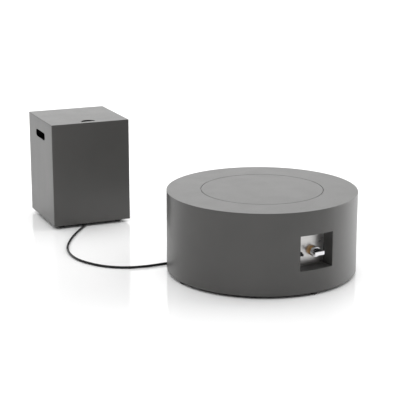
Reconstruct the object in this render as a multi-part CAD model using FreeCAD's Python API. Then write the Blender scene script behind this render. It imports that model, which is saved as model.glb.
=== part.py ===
# Gas fire pit table: a round sheet-steel drum table with a burner under its lift-off lid, and a gas
# cylinder that stands beside it in a lift-off steel cover. One rubber hose joins the two.
# Millimetres, +Z up. The origin is on the floor under the table's centre. The control window faces -Y.
import FreeCAD, Part
import math
import os
from FreeCAD import Vector

os.makedirs("parts", exist_ok=True)

# Clearances shared by all pieces
SEAT_GAP = 0.2            # between curved faces that are welded or seated on each other
RUN_GAP = 0.05            # radial clearance of a shaft that turns or slides in its bore
HOLE_GAP = 0.3            # radial clearance round a stud, pipe or neck that passes through a sheet

# Drum of the table
TABLE_RADIUS = 500.0
TABLE_HEIGHT = 439.0
WALL_SHEET = 2.5
TOP_SHEET = 4.0
RIM_ROUND = 2.0
BASE_RING_WIDTH = 57.5
BASE_SHEET = 3.0

# Glides under the drum, each with a moulded-in stud
TABLE_FOOT_HEIGHT = 15.0
FOOT_RADIUS = 20.0
FOOT_INSET = 25.0         # from the outside of the drum to a foot's centre
STUD_RADIUS = 4.0
NUT_FLATS = 13.0
NUT_HEIGHT = 6.5
STUD_SPARE = 4.0          # thread that stands past its nut

# Lid and the shelf that carries it
LID_RADIUS = 318.0
LID_SEAM = 3.0
LID_SHEET = 4.0
LID_PAD_COUNT = 6
LID_PAD_RADIUS = 7.0
LID_PAD_HEIGHT = 2.0
STIFFENER_BAR = 3.0
STIFFENER_HEIGHT = 18.0
STIFFENER_GAP = 5.0       # from the lid's hoop to the pan's wall
SHELF_WIDTH = 31.0
SHELF_SHEET = 3.0

# Burner pan
PAN_SHEET = 2.0
PAN_GAP = 2.0             # from the shelf's edge to the pan's wall
PAN_LIP_GAP = 4.0         # from the pan's lip to the edge of the table top
PAN_DEPTH = 93.0
DRAIN_RADIUS = 6.0
DRAIN_COUNT = 8
DRAIN_INSET = 14.0

# Burner: two rings on four arms round a hub
BURNER_TUBE = 10.0
BURNER_OUTER_RING = 150.0
BURNER_INNER_RING = 75.0
BURNER_ARM = 7.5
BURNER_LIFT = 2.0
HUB_RADIUS = 26.0
NIPPLE_RADIUS = 10.0
NIPPLE_BORE = 6.0
NIPPLE_LENGTH = 42.0
LOCKNUT_FLATS = 30.0
LOCKNUT_HEIGHT = 7.0
MIXER_RADIUS = 14.0
MIXER_LENGTH = 42.0
MIXER_BORE = 8.0
AIR_HOLE = 5.0
JET_FLATS = 22.0
JET_LENGTH = 14.0
JET_BORE = 1.0

# Lava stones on the pan's floor
BURNER_STONE = 22.4       # widest reach of a stone between the burner's arms
PAN_STONE = 29.0          # widest reach of a stone round the burner
STONE_LEAN = 0.12         # shift of a stone's top, as a share of its radius
STONE_HEIGHT = 30.0
STONE_SMALLER = 0.14      # how much narrower the smallest stones are
STONE_LOWEST = 0.75       # height of the lowest stone, as a share of the usual height
STONE_TALLER = 0.4        # how much more the tallest adds, as a share
STONE_TURN = 137.0        # degrees between one stone's facets and the next one's
STONE_VARY = 2.4          # step of the wave that varies the sizes
STONE_GAP = 2.0

# Heat shield on four studs under the pan
SHIELD_RADIUS = 150.0
SHIELD_SHEET = 1.5
SHIELD_DROP = 20.0
SHIELD_HOLE = 30.0
SHIELD_STUD_CIRCLE = 120.0
SHIELD_STUD = 3.0
SHIELD_SHOULDER = 5.0
SHIELD_NUT_FLATS = 10.0
SHIELD_NUT_HEIGHT = 5.0

# Electrode and flame probe beside the outer burner ring
IGNITION_CIRCLE = 176.0
PROBE_OFFSET = 28.0
BRACKET_WIDTH = 20.0
BRACKET_SHEET = 1.5
CERAMIC_RADIUS = 4.0
CERAMIC_FLANGE = 7.0
CERAMIC_LENGTH = 50.0
CERAMIC_DROP = 20.0       # length below the pan
ROD_RADIUS = 1.2
ROD_STAND = 10.0
ROD_LEAN = 12.0
PROBE_RADIUS = 2.5
PROBE_LENGTH = 45.0
PROBE_DROP = 7.0
PROBE_FLANGE = 5.0
FLANGE_SHEET = 3.0
WIRE_RADIUS = 2.5
WIRE_RUN = 52.0           # straight behind the igniter
WIRE_DROP = 32.0          # upright stretch below the electrode or the probe
LEAD_RADIUS = 1.5
LEAD_RUN = 20.0           # straight out of the valve's side

# Control window, pocket and panel
WINDOW_WIDTH = 196.0
WINDOW_HEIGHT = 181.2
WINDOW_CENTRE = 224.4     # above the floor
POCKET_DEPTH = 85.0       # from the front of the drum to the panel's face
POCKET_SHEET = 1.5
POCKET_FLANGE = 18.0
PANEL_SHEET = 2.0
PANEL_GAP = 0.5
PANEL_STUD = 2.0
PANEL_STUD_INSET = 9.0
PANEL_STUD_LENGTH = 9.0
PANEL_NUT_FLATS = 7.0
PANEL_NUT_HEIGHT = 3.2

# Gas valve behind the panel; distances along its axis count from the panel's face, outwards
KNOB_RIGHT = 27.0
KNOB_DROP = 17.4          # below the window's centre
VALVE_RADIUS = 17.0
VALVE_LENGTH = 65.0
SPIGOT_RADIUS = 14.0
SPIGOT_REACH = 14.0
COLLAR_RADIUS = 25.0
COLLAR_DEPTH = 15.0
PLUG_RADIUS = 10.0
PLUG_LENGTH = 41.0
PLUG_FRONT = -10.0
PLUG_PORT = 3.0
CHAMBER_RADIUS = 8.0
CHAMBER_FRONT = 6.0
STEM_RADIUS = 4.0
STEM_FLAT = 2.6           # from the axis to the flat
STEM_SOCKET = 16.0        # stem inside the plug
SOCKET_SPARE = 2.0        # depth of a socket past the end of its stroke
STEM_SHOULDER = 6.5
SHOULDER_SHEET = 1.5
VALVE_PORT = 4.0
INLET_BACK = 27.0
INLET_RADIUS = 11.0
INLET_DROP = 29.0
OUTLET_RADIUS = 9.0
OUTLET_LENGTH = 15.0

# Knob
KNOB_RADIUS = 25.0
KNOB_GAP = 5.0            # from the collar to the knob's back
KNOB_TRAVEL = 3.5
KNOB_DISC = 18.0
KNOB_FACE = 2.0           # wall in front of the stem
BAR_LENGTH = 57.0
BAR_HEIGHT = 20.0
BAR_DEPTH = 29.0
BAR_ROUND = 2.0
SET_SCREW = 2.0
SET_SCREW_SUNK = 0.6

# Push-button igniter
IGNITER_LEFT = 45.0
IGNITER_DROP = 27.0       # below the window's centre
IGNITER_NECK = 9.0
IGNITER_NECK_REACH = 9.0
IGNITER_BARREL = 11.5
IGNITER_LENGTH = 52.0
IGNITER_NUT_FLATS = 22.0
IGNITER_NUT_HEIGHT = 6.0
BUTTON_STEM = 4.5
BUTTON_HEAD = 7.0
BUTTON_HEAD_DEPTH = 8.0
BUTTON_TRAVEL = 5.0
BUTTON_SOCKET = 14.0
BUTTON_ROUND = 2.0

# Rigid gas pipe from the valve to the burner's jet
PIPE_RADIUS = 5.0
PIPE_BORE = 3.5
PIPE_BEND = 30.0
PIPE_DIP = 27.0           # lowest run of the pipe below the valve's axis
PIPE_STRAIGHT = 60.0      # behind the valve
PIPE_RISE_RUN = 90.0      # level run below the mixer
PIPE_NUT_FLATS = 24.0
PIPE_NUT_LENGTH = 24.0
JET_NUT_FLATS = 19.0
JET_NUT_LENGTH = 18.0

# Hose fittings
TAIL_RADIUS = 6.0
TAIL_BORE = 4.0
FERRULE_RADIUS = 9.5
FERRULE_LENGTH = 24.0
SWIVEL_FLATS = 24.0
SWIVEL_LENGTH = 18.0

# Hose: chosen points of its route from the regulator, over the floor, to the valve's inlet
HOSE_RADIUS = 6.5
HOSE_ROUTE = [
    (-241.5, 1389.5, 392), (-236.6, 1349.8, 392), (-232.4, 1315.4, 372), (-230, 1295.5, 337.4),
    (-230.5, 1288, 272), (-232, 1283, 190), (-240, 1280, 115), (-260, 1279, 58), (-295, 1280.5, 20),
    (-334.5, 1283, 7), (-376, 1276, 7), (-409, 1249, 7), (-449, 1208, 7), (-526, 1132, 7),
    (-606, 1040, 7), (-677, 942, 7), (-722, 866, 7), (-754, 785, 7), (-770, 701, 7), (-770, 631, 7),
    (-758, 571, 7), (-732, 503, 7), (-700, 448, 7), (-661, 407, 7), (-618, 374, 7), (-570, 353, 7),
    (-517, 338, 7), (-460, 330, 7), (-395, 326, 7), (-320, 318, 7), (-250, 296, 7), (-190, 255, 7),
    (-142, 196, 7), (-105, 125, 7), (-75, 45, 7), (-52, -40, 7), (-26, -125, 7), (-2, -215, 7),
    (13.5, -307.2, 7), (22, -358.4, 37), (27, -388, 89), (27, -388, 135.6),
]

# Tank station beside the table
TANK_X = -357.0
TANK_Y = 1444.0
TANK_TURN = -8.0          # degrees about +Z

# Lift-off cover over the gas cylinder
COVER_SIDE = 472.0
COVER_TOP = 625.7
COVER_SHEET = 2.0
COVER_CORNER = 3.0
COVER_LID_SHEET = 3.0
COVER_LID_ROUND = 0.8
COVER_BASE_FLANGE = 25.0
COVER_TOP_FLANGE = 20.0
GUSSET_LEG = 160.0
COVER_FOOT_HEIGHT = 20.0
COVER_FOOT_AT = 179.0     # from the cover's centre to a foot's centre, along each side
SLOT_LENGTH = 178.0
SLOT_HEIGHT = 44.0
SLOT_ROUND = 18.0
SLOT_DROP = 97.0          # slot's centre below the cover's top
FINGER_HOLE_RADIUS = 44.0
FINGER_HOLE_INSET = 38.0  # from the front edge to the hole's flat side
LOCATOR_GAP = 2.0
LOCATOR_BAR = 3.0
LOCATOR_HEIGHT = 15.0

# Gas cylinder
CYLINDER_RADIUS = 155.0
CYLINDER_SHEET = 2.6
CYLINDER_CLEAR = 28.0     # lowest point of the lower head above the floor
CYLINDER_BODY = 325.5
CROWN_RADIUS = 280.0
KNUCKLE_RADIUS = 30.0
FOOT_RING_RADIUS = 110.0
FOOT_RING_SHEET = 3.0
FOOT_VENT = 10.0
FOOT_VENT_COUNT = 6
BUNG_RADIUS = 22.0
BUNG_RISE = 8.0
BUNG_DEPTH = 14.0
GUARD_RADIUS = 103.0
GUARD_SHEET = 3.0
GUARD_TOP = 457.0
GUARD_GATE = 50.0         # half of the open sector, degrees
GUARD_HOLE_LENGTH = 108.0
GUARD_HOLE_HEIGHT = 34.0
GUARD_HOLE_ROUND = 12.0
GUARD_HOLE_DROP = 34.0    # hole's centre below the guard's top
GUARD_HOLE_TURN = 115.0   # from the outlet's side to each hand hole, degrees

# Cylinder valve and handwheel
PORT_TURN = 15.0          # azimuth of the outlet in the cover's own axes, degrees
NECK_RADIUS = 13.0
NECK_DEPTH = 12.0
BONNET_RADIUS = 17.0
BONNET_HEIGHT = 50.0
PORT_RISE = 30.5
PORT_RADIUS = 12.0
PORT_REACH = 38.0
RELIEF_RADIUS = 7.0
RELIEF_REACH = 28.0
GLAND_RADIUS = 10.0
GLAND_HEIGHT = 12.0
SPINDLE_RADIUS = 4.0
SPINDLE_DEPTH = 18.0
WHEEL_RADIUS = 32.0
WHEEL_HEIGHT = 18.0
WHEEL_GAP = 2.0
WHEEL_SCALLOPS = 8
SCALLOP_RADIUS = 7.0
SCALLOP_OUTSET = 2.3      # scallop's centre outside the wheel's edge
WHEEL_SCREW = 7.0
WHEEL_SCREW_HEIGHT = 3.0

# Regulator
REGULATOR_REACH = 108.0   # from the cylinder's axis to the regulator's
REGULATOR_RADIUS = 34.0
REGULATOR_HEIGHT = 30.0
REGULATOR_ROUND = 4.0
REGULATOR_CAP_RADIUS = 26.0
REGULATOR_CAP_HEIGHT = 12.0
REGULATOR_INLET = 8.0
REGULATOR_OUTLET = 8.0
REGULATOR_OUTLET_REACH = 44.0
COUPLING_FLATS = 30.0
COUPLING_BACK = 6.0       # thread of the coupling nut over the port's end
COUPLING_LENGTH = 30.0

# Heights in the table, worked out from the sizes above
wall_low = TABLE_FOOT_HEIGHT
wall_top = TABLE_HEIGHT - TOP_SHEET
lid_under = TABLE_HEIGHT - LID_SHEET
pan_lip_top = lid_under - LID_PAD_HEIGHT
shelf_top = pan_lip_top - PAN_SHEET
shelf_under = shelf_top - SHELF_SHEET
pan_under = pan_lip_top - PAN_DEPTH
pan_floor = pan_under + PAN_SHEET
mouth_radius = LID_RADIUS + LID_SEAM
wall_inside = TABLE_RADIUS - WALL_SHEET
shelf_edge = mouth_radius - SHELF_WIDTH
pan_wall = shelf_edge - PAN_GAP
pan_inside = pan_wall - PAN_SHEET
burner_axis = pan_floor + BURNER_LIFT + BURNER_TUBE
hub_top = burner_axis + BURNER_TUBE + BURNER_LIFT
nipple_end = pan_floor - NIPPLE_LENGTH
mixer_end = nipple_end - MIXER_LENGTH
jet_end = mixer_end - JET_LENGTH
shield_top = pan_under - SHIELD_DROP
foot_circle = TABLE_RADIUS - FOOT_INSET

# Places in the control window
panel_face = -(TABLE_RADIUS - POCKET_DEPTH)
knob_z = WINDOW_CENTRE - KNOB_DROP
igniter_z = WINDOW_CENTRE - IGNITER_DROP
knob_back = COLLAR_DEPTH + KNOB_GAP
knob_front = knob_back + KNOB_DISC
stem_back = PLUG_FRONT - STEM_SOCKET
stem_front = knob_front - KNOB_FACE
inlet_y = panel_face + INLET_BACK
inlet_end = knob_z - INLET_DROP

# Heights and half sizes in the tank station
cover_low = COVER_FOOT_HEIGHT
cover_lid_under = COVER_TOP - COVER_LID_SHEET
cover_half = COVER_SIDE / 2
cover_inside = cover_half - COVER_SHEET
cylinder_top = CYLINDER_CLEAR + CYLINDER_BODY
bung_top = cylinder_top + BUNG_RISE
port_z = bung_top + PORT_RISE
bonnet_top = bung_top + BONNET_HEIGHT
gland_top = bonnet_top + GLAND_HEIGHT
wheel_low = gland_top + WHEEL_GAP
wheel_top = wheel_low + WHEEL_HEIGHT


# General shapes

def disc(radius, low, high, at=(0, 0)):
    """Upright cylinder between two heights."""
    return Part.makeCylinder(radius, high - low, Vector(at[0], at[1], low))


def ring(outer, inner, low, high, at=(0, 0)):
    """Upright tube between two heights."""
    return disc(outer, low, high, at).cut(disc(inner, low, high, at))


def block(x0, x1, y0, y1, z0, z1):
    """Box between two corners."""
    return Part.makeBox(x1 - x0, y1 - y0, z1 - z0, Vector(x0, y0, z0))


def plate(half, low, high):
    """Square block about the axis."""
    return block(-half, half, -half, half, low, high)


def hexagon(flats, low, high, at=(0, 0)):
    """Upright hexagonal bar, sized across its flats."""
    reach = flats / math.sqrt(3)
    corners = []
    for k in range(7):
        angle = math.radians(60 * k)
        corners.append(Vector(at[0] + reach * math.cos(angle), at[1] + reach * math.sin(angle), low))
    return Part.Face(Part.makePolygon(corners)).extrude(Vector(0, 0, high - low))


def nut(flats, bore, low, high, at=(0, 0)):
    """Hexagon nut."""
    return hexagon(flats, low, high, at).cut(disc(bore, low, high, at))


def turned(profile):
    """Body turned about +Z from its (radius, height) corners."""
    corners = [Vector(r, 0, z) for r, z in profile]
    face = Part.Face(Part.makePolygon(corners + corners[:1]))
    return face.revolve(Vector(0, 0, 0), Vector(0, 0, 1), 360)


def around(shape, count, first=0.0):
    """Copies of a shape at even angles about +Z."""
    copies = []
    for k in range(count):
        copy = shape.copy()
        copy.rotate(Vector(0, 0, 0), Vector(0, 0, 1), first + 360.0 * k / count)
        copies.append(copy)
    return copies


def round_edges(shape, radius, direction):
    """Rounds the straight edges that run along a direction."""
    axis = Vector(*direction)
    edges = []
    for edge in shape.Edges:
        if isinstance(edge.Curve, Part.Line) and abs(edge.tangentAt(edge.FirstParameter).dot(axis)) > 0.999:
            edges.append(edge)
    return shape.makeFillet(radius, edges)


def round_circles(shape, radius, circle, height):
    """Rounds the circular edges of one radius at one height."""
    edges = []
    for edge in shape.Edges:
        if isinstance(edge.Curve, Part.Circle):
            centre = edge.Curve.Center
            if abs(edge.Curve.Radius - circle) < 1e-6 and abs(centre.z - height) < 1e-6:
                edges.append(edge)
    return shape.makeFillet(radius, edges)


def bent_wire(points, bend=None):
    """Straight runs joined by tangent arcs, each as large as its two runs allow or as the bend given."""
    corners = [Vector(*p) for p in points]
    edges, radii, start = [], [], corners[0]
    for before, corner, after in zip(corners, corners[1:], corners[2:]):
        into, out = corner - before, after - corner
        shorter = min(into.Length, out.Length)
        into.normalize()
        out.normalize()
        half = into.getAngle(out) / 2
        radius = 0.45 * shorter / math.tan(half)
        if bend:
            radius = min(radius, bend)
        reach = radius * math.tan(half)
        inward = (out - into).normalize()
        middle = corner + inward * (radius / math.cos(half) - radius)
        edges.append(Part.LineSegment(start, corner - into * reach).toShape())
        edges.append(Part.Arc(corner - into * reach, middle, corner + out * reach).toShape())
        start = corner + out * reach
        radii.append(radius)
    edges.append(Part.LineSegment(start, corners[-1]).toShape())
    return Part.Wire(edges), radii


def rod(points, radius, bend=None):
    """Round bar along bent runs."""
    wire, radii = bent_wire(points, bend)
    start, heading = Vector(*points[0]), Vector(*points[1]) - Vector(*points[0])
    section = Part.Wire(Part.makeCircle(radius, start, heading))
    return wire.makePipeShell([section], True, False)


def group(shapes):
    """Several separate solids of one node."""
    return Part.makeCompound(shapes)


def at_front(shape, x, z):
    """Lays an upright shape along -Y, so that its height becomes the distance out of the panel."""
    moved = shape.copy()
    moved.rotate(Vector(0, 0, 0), Vector(1, 0, 0), 90)
    moved.translate(Vector(x, panel_face, z))
    return moved


def at_tank(shape):
    """Moves a shape from the cover's own axes to its place beside the table."""
    moved = shape.copy()
    moved.rotate(Vector(0, 0, 0), Vector(0, 0, 1), TANK_TURN)
    moved.translate(Vector(TANK_X, TANK_Y, 0))
    return moved


def at_port(shape):
    """Moves a shape from the cylinder valve's axes, with its outlet along +X, to its place."""
    moved = shape.copy()
    moved.rotate(Vector(0, 0, 0), Vector(0, 0, 1), PORT_TURN)
    return at_tank(moved)


def along_x(shape, y, z):
    """Lays an upright shape along +X at a given depth and height."""
    moved = shape.copy()
    moved.rotate(Vector(0, 0, 0), Vector(0, 1, 0), 90)
    moved.translate(Vector(0, y, z))
    return moved


def along_minus_y(shape, x, z):
    """Lays an upright shape along -Y from a given place."""
    moved = shape.copy()
    moved.rotate(Vector(0, 0, 0), Vector(1, 0, 0), 90)
    moved.translate(Vector(x, 0, z))
    return moved


# Drum of the table

def window_block(grow, front, back):
    """Block as wide and high as the control window, between two distances behind the drum's front."""
    half_width = WINDOW_WIDTH / 2 + grow
    half_height = WINDOW_HEIGHT / 2 + grow
    return block(-half_width, half_width, -TABLE_RADIUS + front, -TABLE_RADIUS + back,
                 WINDOW_CENTRE - half_height, WINDOW_CENTRE + half_height)


def drum_wall():
    """Rolled sheet with the control window cut out."""
    wall = ring(TABLE_RADIUS, wall_inside, wall_low, wall_top)
    return wall.cut(window_block(0, -WALL_SHEET, POCKET_DEPTH))


def base_ring():
    """Flat hoop inside the foot of the wall, with a hole for each glide's stud."""
    outer = wall_inside - SEAT_GAP
    hoop = ring(outer, outer - BASE_RING_WIDTH, wall_low, wall_low + BASE_SHEET)
    top = wall_low + BASE_SHEET
    return hoop.cut(group([disc(STUD_RADIUS + HOLE_GAP, wall_low, top, at) for at in table_foot_places()]))


def table_foot_places():
    """Centres of the table's glides, one on each side."""
    return [(foot_circle, 0), (0, foot_circle), (-foot_circle, 0), (0, -foot_circle)]


def stud_foot(height, sheet, at):
    """Round glide with a stud that passes through a sheet and its nut."""
    stud_top = height + sheet + NUT_HEIGHT + STUD_SPARE
    return disc(FOOT_RADIUS, 0, height, at).fuse(disc(STUD_RADIUS, height, stud_top, at))


def foot_nut(height, sheet, at):
    """Nut that holds a glide from above."""
    low = height + sheet
    return nut(NUT_FLATS, STUD_RADIUS + RUN_GAP, low, low + NUT_HEIGHT, at)


def table_feet():
    """Glides under the base ring."""
    return group([stud_foot(TABLE_FOOT_HEIGHT, BASE_SHEET, at) for at in table_foot_places()])


def table_foot_nuts():
    """Nuts of the table's glides."""
    return group([foot_nut(TABLE_FOOT_HEIGHT, BASE_SHEET, at) for at in table_foot_places()])


def table_top():
    """Round plate with the lid's opening."""
    top = ring(TABLE_RADIUS, mouth_radius, wall_top, TABLE_HEIGHT)
    return round_circles(top, RIM_ROUND, TABLE_RADIUS, TABLE_HEIGHT)


def lid_shelf():
    """Turned-in shelf under the table top that carries the pan and the lid."""
    outer = mouth_radius + SHELF_SHEET
    return turned([(shelf_edge, shelf_under), (outer, shelf_under), (outer, wall_top),
                   (mouth_radius, wall_top), (mouth_radius, shelf_top), (shelf_edge, shelf_top)])


# Lid

def lid():
    """Loose round plate, flush with the table top."""
    cover = disc(LID_RADIUS, lid_under, TABLE_HEIGHT)
    return round_circles(cover, RIM_ROUND / 2, LID_RADIUS, TABLE_HEIGHT)


def lid_hoop():
    """Hoop of flat bar welded under the lid, which centres it in the pan."""
    outer = pan_inside - STIFFENER_GAP
    return ring(outer, outer - STIFFENER_BAR, lid_under - STIFFENER_HEIGHT, lid_under)


def lid_pads():
    """Rubber pads under the lid's rim."""
    at = ((pan_wall + mouth_radius - PAN_LIP_GAP) / 2, 0)
    pad = disc(LID_PAD_RADIUS, pan_lip_top, lid_under, at)
    return group(around(pad, LID_PAD_COUNT))


# Burner pan and burner

def burner_pan():
    """Pressed round pan that hangs in the shelf by its lip."""
    lip = mouth_radius - PAN_LIP_GAP
    pan = turned([(NIPPLE_RADIUS + HOLE_GAP, pan_under), (pan_wall, pan_under), (pan_wall, shelf_top),
                  (lip, shelf_top), (lip, pan_lip_top), (pan_inside, pan_lip_top),
                  (pan_inside, pan_floor), (NIPPLE_RADIUS + HOLE_GAP, pan_floor)])
    drain = disc(DRAIN_RADIUS, pan_under, pan_floor, (pan_inside - DRAIN_INSET, 0))
    holes = around(drain, DRAIN_COUNT, 180.0 / DRAIN_COUNT)
    holes.append(disc(CERAMIC_RADIUS + HOLE_GAP, pan_under, pan_floor, (0, -IGNITION_CIRCLE)))
    holes.append(disc(PROBE_RADIUS + HOLE_GAP, pan_under, pan_floor, (PROBE_OFFSET, -IGNITION_CIRCLE)))
    return pan.cut(group(holes))


def burner():
    """Two tube rings joined by four arms to a round hub."""
    hub = disc(HUB_RADIUS, pan_floor, hub_top)
    outer = Part.makeTorus(BURNER_OUTER_RING, BURNER_TUBE, Vector(0, 0, burner_axis))
    inner = Part.makeTorus(BURNER_INNER_RING, BURNER_TUBE, Vector(0, 0, burner_axis))
    arm = Part.makeCylinder(BURNER_ARM, BURNER_OUTER_RING, Vector(0, 0, burner_axis), Vector(1, 0, 0))
    return hub.multiFuse([outer, inner] + around(arm, 4))


def burner_nipple():
    """Threaded pipe from the hub through the pan's floor."""
    return ring(NIPPLE_RADIUS, NIPPLE_BORE, nipple_end, pan_floor)


def burner_locknut():
    """Nut that clamps the burner to the pan from below."""
    return nut(LOCKNUT_FLATS, NIPPLE_RADIUS + RUN_GAP, pan_under - LOCKNUT_HEIGHT, pan_under)


def air_mixer():
    """Brass tube with four air holes that feeds the nipple."""
    body = ring(MIXER_RADIUS, MIXER_BORE, mixer_end, nipple_end)
    middle = (mixer_end + nipple_end) / 2
    hole = Part.makeCylinder(AIR_HOLE, MIXER_RADIUS + SEAT_GAP, Vector(0, 0, middle), Vector(1, 0, 0))
    return body.cut(group(around(hole, 4, 45.0)))


def gas_jet():
    """Hexagonal holder with the jet's small bore."""
    return nut(JET_FLATS, JET_BORE, jet_end, mixer_end)


def stone(reach, height, centre, turn):
    """Stone with a flat base and six sides that swell and draw in, leaning a little to one side."""
    radius = reach / (1 + STONE_LEAN)
    lean = Vector(math.cos(math.radians(turn)), math.sin(math.radians(turn)), 0) * (radius * STONE_LEAN)
    rings = []
    for share, rise in ((0.68, 0.0), (1.0, 0.42), (0.52, 1.0)):
        middle = Vector(centre[0], centre[1], pan_floor + height * rise) + lean * rise
        corners = []
        for k in range(6):
            angle = math.radians(60 * k + turn)
            corners.append(middle + Vector(math.cos(angle), math.sin(angle), 0) * (radius * share))
        rings.append(corners)
    faces = [Part.Face(Part.makePolygon(corners + corners[:1])) for corners in (rings[0], rings[-1])]
    for lower, upper in zip(rings, rings[1:]):
        for k in range(6):
            n = (k + 1) % 6
            faces.append(Part.Face(Part.makePolygon([lower[k], lower[n], upper[n], upper[k], lower[k]])))
    solid = Part.makeSolid(Part.makeShell(faces))
    if solid.Volume < 0:
        solid.reverse()
    return solid


def stone_places():
    """Reach, circle and azimuth of each stone: rows between the burner's arms, then rows round it."""
    places = []
    for inner, outer in ((HUB_RADIUS, BURNER_INNER_RING - BURNER_TUBE),
                         (BURNER_INNER_RING + BURNER_TUBE, BURNER_OUTER_RING - BURNER_TUBE)):
        circle = (inner + outer) / 2
        reach = min(BURNER_STONE, (outer - inner) / 2 - STONE_GAP)
        arm_angle = math.degrees(math.asin((BURNER_ARM + reach + STONE_GAP) / circle))
        step = 2 * math.degrees(math.asin((reach + STONE_GAP / 2) / circle))
        more = int((90 - 2 * arm_angle) / step)
        for quarter in range(4):
            for k in range(more + 1):
                places.append((reach, circle, 90 * quarter + 45 + step * (k - more / 2)))
    start = BURNER_OUTER_RING + BURNER_TUBE
    rows = int((pan_inside - start) / (2 * PAN_STONE + STONE_GAP))
    for row in range(rows):
        circle = start + (pan_inside - start) * (row + 0.5) / rows
        count = int(180 / math.degrees(math.asin((PAN_STONE + STONE_GAP / 2) / circle)))
        for k in range(count):
            places.append((PAN_STONE, circle, 360.0 * k / count))
    return places


def lava_stones():
    """Stones of varied size on the pan's floor, clear of the burner and of the ignition bracket."""
    stones = []
    for k, (reach, circle, azimuth) in enumerate(stone_places()):
        x, y = circle * math.cos(math.radians(azimuth)), circle * math.sin(math.radians(azimuth))
        near_x = max(-BRACKET_WIDTH / 2 - x, x - PROBE_OFFSET - BRACKET_WIDTH / 2, 0)
        near_y = max(abs(y + IGNITION_CIRCLE) - BRACKET_WIDTH / 2, 0)
        if math.hypot(near_x, near_y) < reach + STONE_GAP:
            continue
        vary = 0.5 + 0.5 * math.sin(STONE_VARY * k)
        wide = reach * (1 - STONE_SMALLER * (1 - vary))
        tall = STONE_HEIGHT * (STONE_LOWEST + STONE_TALLER * vary)
        stones.append(stone(wide, tall, (x, y), STONE_TURN * k))
    return group(stones)


# Heat shield

def heat_shield():
    """Flat plate that keeps the burner's heat off the hose and valve."""
    low = shield_top - SHIELD_SHEET
    sheet = ring(SHIELD_RADIUS, SHIELD_HOLE, low, shield_top)
    hole = disc(SHIELD_STUD + HOLE_GAP, low, shield_top, (SHIELD_STUD_CIRCLE, 0))
    return sheet.cut(group(around(hole, 4, 45.0)))


def shield_studs():
    """Shouldered studs welded under the pan."""
    end = shield_top - SHIELD_SHEET - SHIELD_NUT_HEIGHT - STUD_SPARE
    at = (SHIELD_STUD_CIRCLE, 0)
    stud = disc(SHIELD_SHOULDER, shield_top, pan_under, at).fuse(disc(SHIELD_STUD, end, shield_top, at))
    return group(around(stud, 4, 45.0))


def shield_nuts():
    """Nuts under the heat shield."""
    high = shield_top - SHIELD_SHEET
    low = high - SHIELD_NUT_HEIGHT
    one = nut(SHIELD_NUT_FLATS, SHIELD_STUD + RUN_GAP, low, high, (SHIELD_STUD_CIRCLE, 0))
    return group(around(one, 4, 45.0))


# Ignition

def ignition_bracket():
    """Strip on the pan's floor that carries the electrode and the flame probe."""
    half = BRACKET_WIDTH / 2
    strip = block(-half, PROBE_OFFSET + half, -IGNITION_CIRCLE - half, -IGNITION_CIRCLE + half,
                  pan_floor, pan_floor + BRACKET_SHEET)
    top = pan_floor + BRACKET_SHEET
    strip = strip.cut(disc(CERAMIC_RADIUS + HOLE_GAP, pan_floor, top, (0, -IGNITION_CIRCLE)))
    return strip.cut(disc(PROBE_RADIUS + HOLE_GAP, pan_floor, top, (PROBE_OFFSET, -IGNITION_CIRCLE)))


def electrode_ceramic():
    """Ceramic insulator with a flange that sits on the bracket."""
    at = (0, -IGNITION_CIRCLE)
    low = pan_under - CERAMIC_DROP
    seat = pan_floor + BRACKET_SHEET
    body = disc(CERAMIC_RADIUS, low, low + CERAMIC_LENGTH, at)
    body = body.fuse(disc(CERAMIC_FLANGE, seat, seat + FLANGE_SHEET, at))
    return body.cut(disc(ROD_RADIUS + RUN_GAP, low, low + CERAMIC_LENGTH, at))


def electrode_rod():
    """Spark wire through the ceramic, bent over towards the burner ring."""
    low = pan_under - CERAMIC_DROP - FLANGE_SHEET
    bend_at = pan_under - CERAMIC_DROP + CERAMIC_LENGTH + ROD_STAND
    tip = (0, -IGNITION_CIRCLE + ROD_LEAN, bend_at + ROD_LEAN / 2)
    return rod([(0, -IGNITION_CIRCLE, low), (0, -IGNITION_CIRCLE, bend_at), tip], ROD_RADIUS, FLANGE_SHEET)


def flame_probe():
    """Probe that shuts the gas off when the flame goes out."""
    at = (PROBE_OFFSET, -IGNITION_CIRCLE)
    low = pan_under - PROBE_DROP
    seat = pan_floor + BRACKET_SHEET
    return disc(PROBE_RADIUS, low, low + PROBE_LENGTH, at).fuse(
        disc(PROBE_FLANGE, seat, seat + FLANGE_SHEET, at))


def ignition_wire():
    """Insulated wire from the igniter's back to the electrode."""
    start_y = panel_face + IGNITER_LENGTH + SEAT_GAP
    end_z = pan_under - CERAMIC_DROP - FLANGE_SHEET - SEAT_GAP
    return rod([(-IGNITER_LEFT, start_y, igniter_z), (-IGNITER_LEFT, start_y + WIRE_RUN, igniter_z),
                (-IGNITER_LEFT / 2, -IGNITION_CIRCLE - WIRE_DROP, (igniter_z + end_z) / 2),
                (0, -IGNITION_CIRCLE, end_z - WIRE_DROP), (0, -IGNITION_CIRCLE, end_z)],
               WIRE_RADIUS, PIPE_BEND)


def probe_lead():
    """Thin lead from the flame probe to the valve's side."""
    side_x = KNOB_RIGHT + VALVE_RADIUS + SEAT_GAP
    side_y = panel_face + VALVE_LENGTH / 2
    end_z = pan_under - PROBE_DROP - SEAT_GAP
    return rod([(side_x, side_y, knob_z), (side_x + LEAD_RUN, side_y, knob_z),
                (side_x + LEAD_RUN, -IGNITION_CIRCLE - WIRE_DROP, (knob_z + end_z) / 2),
                (PROBE_OFFSET, -IGNITION_CIRCLE, end_z - WIRE_DROP),
                (PROBE_OFFSET, -IGNITION_CIRCLE, end_z)], LEAD_RADIUS, PIPE_BEND)


# Control window

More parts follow.
